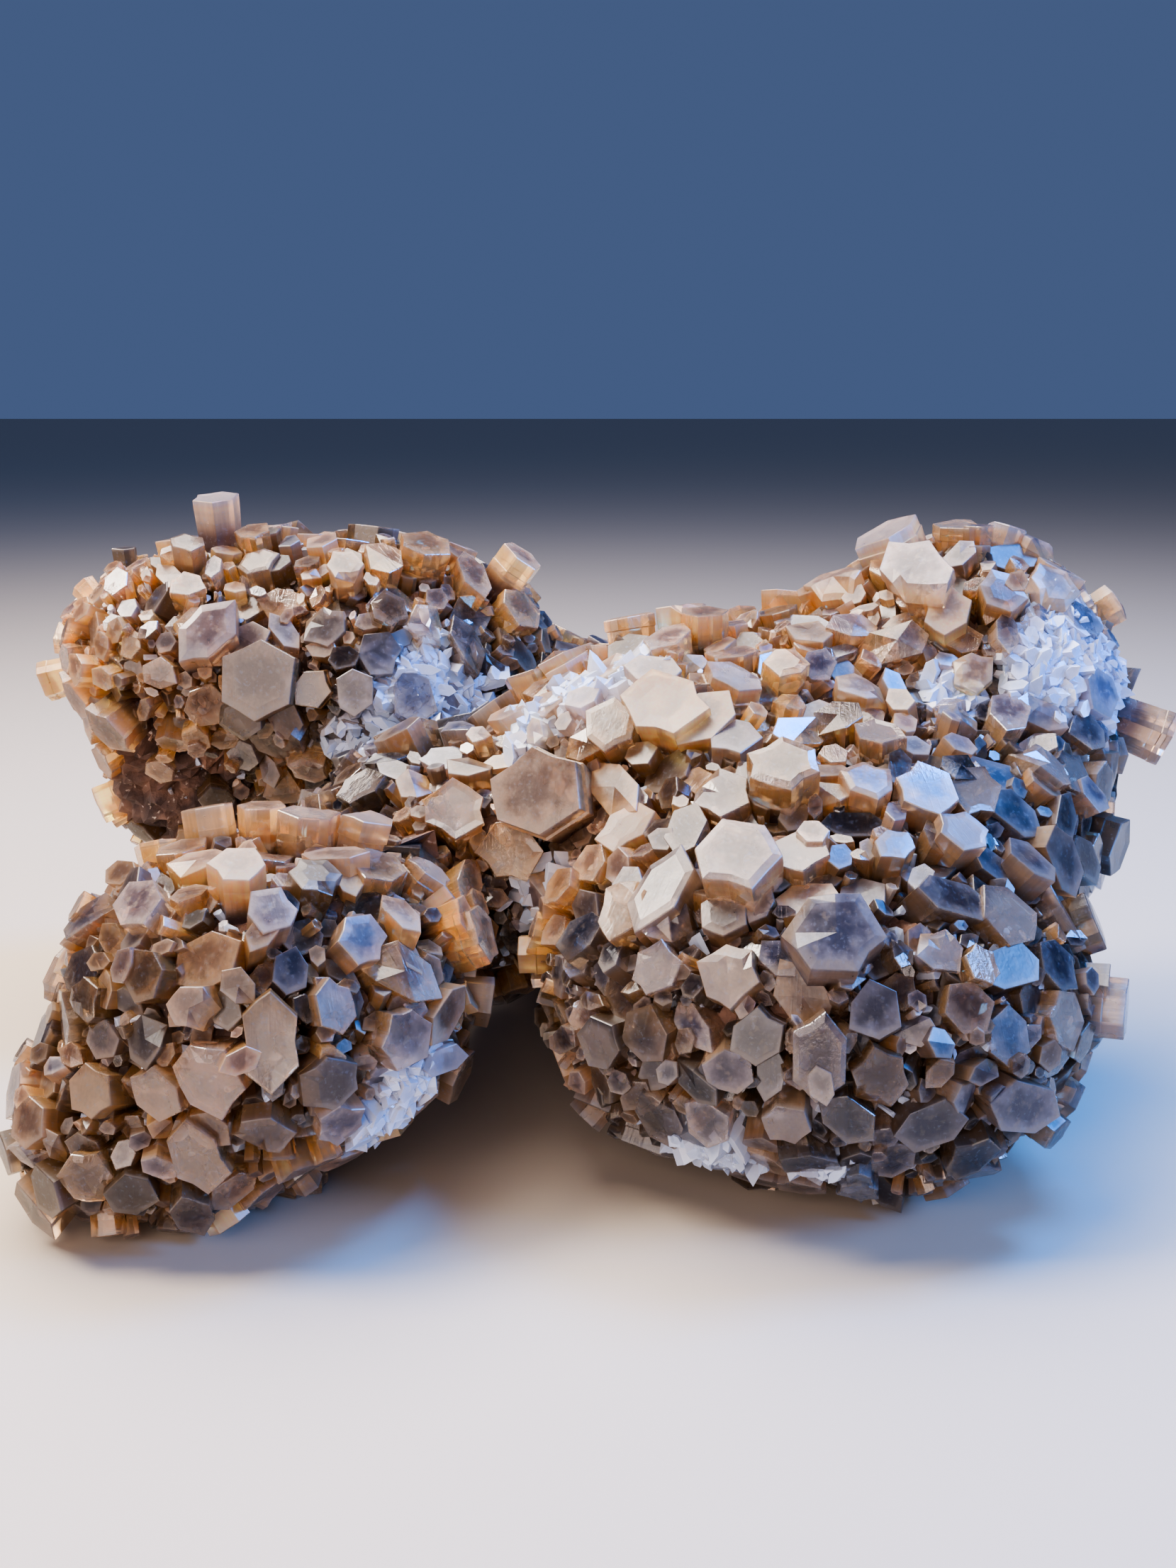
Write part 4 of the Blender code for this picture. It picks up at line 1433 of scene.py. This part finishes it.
druse = thrown(rng, DRUSE_TRIES, DRUSE_WIDTHS, DRUSE_RISES, DRUSE_LEAN, DRUSE_STRETCHES)
druse = clear_of(together(large, middling, small), druse, CLEAR_SHARE)
druse = rooted(druse._replace(depth=DRUSE_LENGTH + druse.width))
print(len(druse.width), "crystals in the crevices")

# %% [markdown]
# ## The crust of frost
# The frosted patches are nothing but tiny crystals, packed at full height and pointing every way, so that
# the crust is jagged. They land on the ball round the middle of each patch, thickest there.

# %% Crust of frost
FROST_DENSITY = 4.5  # tiny crystals for each square millimetre of a frosted patch
FROST_LEAN = 0.7  # how far an axis strays from the surface normal, against a length of one
FROST_WIDTHS = (0.5, 2.3)  # mm, the narrowest, and how much wider the widest is
FROST_RISES = (-0.6, 1.8)  # mm
FROST_STRETCHES = (1, 2.2)
CRUST_SCATTER = 0.5  # how far from the middle they land, as a share of the patch's reach
CRUST_EDGE = 1.3  # the crust ends at this many times the reach of its patch


def frost_crystals(patch):
    """Tiny crystals at random places near the patch's middle, settled on the surface. The random share
    of their width is squared, so that most are narrow."""
    count = int(FROST_DENSITY * math.pi * patch.reach**2)
    point, normal = settled(patch.place + rng.normal(size=(count, 3)) * patch.reach * CRUST_SCATTER)
    axis = unit(normal + rng.normal(size=(count, 3)) * FROST_LEAN)
    width = FROST_WIDTHS[0] + FROST_WIDTHS[1] * rng.random_sample(count) ** 2
    roll, stretch = rng.uniform(0, 180, count), rng.uniform(*FROST_STRETCHES, count)
    grown = grown_at(rng, point, axis, width, rng.uniform(*FROST_RISES, count), roll, stretch)
    return some(grown, np.linalg.norm(grown.end - patch.place, axis=1) < CRUST_EDGE * patch.reach)


frost = rooted(shorter(together(*(frost_crystals(patch) for patch in FROST))))
print(len(frost.width), "crystals of frost")

# %% [markdown]
# ## Tiny crystals as pieces
# Both kinds let less light through than the large crystals, so they share the frosted finish. Druse runs
# from clear to milky, by chance, and all of the crust is white. Each kind is one mesh, because each stays
# under the size at which a piece would be thinned.

# %% Druse and crust as pieces
TINY_SPREAD = 0.35  # the spread of their moods
TINY_BEVEL = 0.03  # mm
TINY_CUT = 0.8  # the share of cut ends
CRUST_FROST = 0.75  # the least frost on a crystal of the crust


def tiny_piece(name, crystals, nature, least_frost, tilt):
    """One object of tiny crystals, nearly all of them with a cut end."""
    nature[:, 2] = np.maximum(nature[:, 2], least_frost)
    surface = crystal_surfaces(crystals, bevel=TINY_BEVEL, tilt=tilt, cut=TINY_CUT)
    crystal_piece(name, [(surface, nature)], frost_finish)


# The frost colour makes druse and crust white, with a painted blue tint.
druse_nature = natures(druse, TINY_SPREAD)
tiny_piece("druse", druse, druse_nature, rng.uniform(0, 1, len(druse_nature)) ** 1.5, tilt=0.1)
tiny_piece("frost", frost, natures(frost, TINY_SPREAD), CRUST_FROST, tilt=0.5)

# %% [markdown]
# ## The camera
# A specimen is looked at from a little above, as it lies on a table in front of us. So the camera stands
# square to its front, a quarter of a metre away, and looks down a little. A longer lens from further off
# would flatten the lobes.

# %% Camera
CAMERA_PLACE = (0, -253, 107)
CAMERA_DOWN = 14  # degrees
LENS = 39.06  # mm of focal length, for a sensor 36 mm wide

camera = bpy.data.objects.new("camera", bpy.data.cameras.new("camera"))
bpy.context.scene.collection.objects.link(camera)
camera.data.sensor_width = 36
camera.data.lens = LENS
camera.location = metres(CAMERA_PLACE)
camera.rotation_euler = (math.radians(90 - CAMERA_DOWN), 0, 0)
bpy.context.scene.camera = camera
print("the camera looks down by", CAMERA_DOWN, "degrees")

# %% [markdown]
# ## The floor
# The cluster needs something to stand on, to catch its shadow and to throw warm light back into its
# underside. A table top would be a piece of its own, so the floor is one plain square that belongs to the
# stage and not to the specimen.

# %% Floor
FLOOR_REACH = 3  # metres from the middle to each side
FLOOR_COLOUR = (0.44, 0.37, 0.30)

floor_mesh = bpy.data.meshes.new("floor")
sides = ((-1, -1), (1, -1), (1, 1), (-1, 1))
floor_mesh.from_pydata([(x * FLOOR_REACH, y * FLOOR_REACH, 0) for x, y in sides], [], [(0, 1, 2, 3)])
floor = bpy.data.objects.new("floor", floor_mesh)
bpy.context.scene.collection.objects.link(floor)
pale = bpy.data.materials.new("pale")
pale.use_nodes = True
pale.node_tree.nodes["Principled BSDF"].inputs["Base Color"].default_value = (*FLOOR_COLOUR, 1)
pale.node_tree.nodes["Principled BSDF"].inputs["Roughness"].default_value = 0.6
floor_mesh.materials.append(pale)
print("the floor is", 2 * FLOOR_REACH, "metres wide")

# %% [markdown]
# ## Lamps
# Crystals show their faces only where something bright mirrors in them. One large warm lamp over the
# cluster lights it softly, a small one picks out edges on the left, and two blue ones on the right stand
# for a window. A weak warm one from the front keeps the hollows from going black.

# %% Lamps
Lamp = namedtuple("Lamp", "name toward size watts colour")
LAMPS = (
    Lamp("over", (-0.20, 0.25, 0.94), 0.42, 6.5, (1.0, 0.91, 0.83)),
    Lamp("key", (-0.60, -0.10, 0.79), 0.16, 4.0, (1.0, 0.90, 0.80)),
    Lamp("window", (0.48, 0.12, 0.87), 0.13, 5.0, (0.03, 0.28, 1.0)),
    Lamp("side", (0.85, -0.35, 0.40), 0.14, 3.2, (0.10, 0.34, 1.0)),
    Lamp("fill", (-0.35, -0.92, 0.20), 0.40, 2.5, (1.0, 0.82, 0.74)),
)
LAMP_DISTANCE = 480  # mm from the point that all lamps look at
LAMP_TARGET = (0, -5, 42)


def add_lamp(lamp):
    """A square lamp that looks at the target from its direction."""
    data = bpy.data.lights.new(lamp.name, "AREA")
    data.size = lamp.size
    data.energy = lamp.watts
    data.color = lamp.colour
    light = bpy.data.objects.new(lamp.name, data)
    bpy.context.scene.collection.objects.link(light)
    light.location = metres(LAMP_TARGET + unit(np.array(lamp.toward)) * LAMP_DISTANCE)
    sight = Vector(metres(LAMP_TARGET)) - light.location
    light.rotation_euler = sight.to_track_quat("-Z", "Y").to_euler()


for lamp in LAMPS:
    add_lamp(lamp)
print(len(LAMPS), "lamps,", sum(lamp.watts for lamp in LAMPS), "watts in all")

# %% [markdown]
# ## The light of the room
# Whatever no lamp reaches still gets some cool light from the room. Walls would cost time and hardly show
# in the crystals, so the room is one plain colour. A view with a little more contrast brings out their
# depth.

# %% World
ROOM_COLOUR = (0.26, 0.38, 0.74)
ROOM_STRENGTH = 0.30

world = bpy.data.worlds.new("studio")
bpy.context.scene.world = world
world.use_nodes = True
world.node_tree.nodes["Background"].inputs["Color"].default_value = (*ROOM_COLOUR, 1)
world.node_tree.nodes["Background"].inputs["Strength"].default_value = ROOM_STRENGTH
bpy.context.scene.view_settings.look = "AgX - Medium High Contrast"
print("room light:", ROOM_COLOUR, "times", ROOM_STRENGTH)
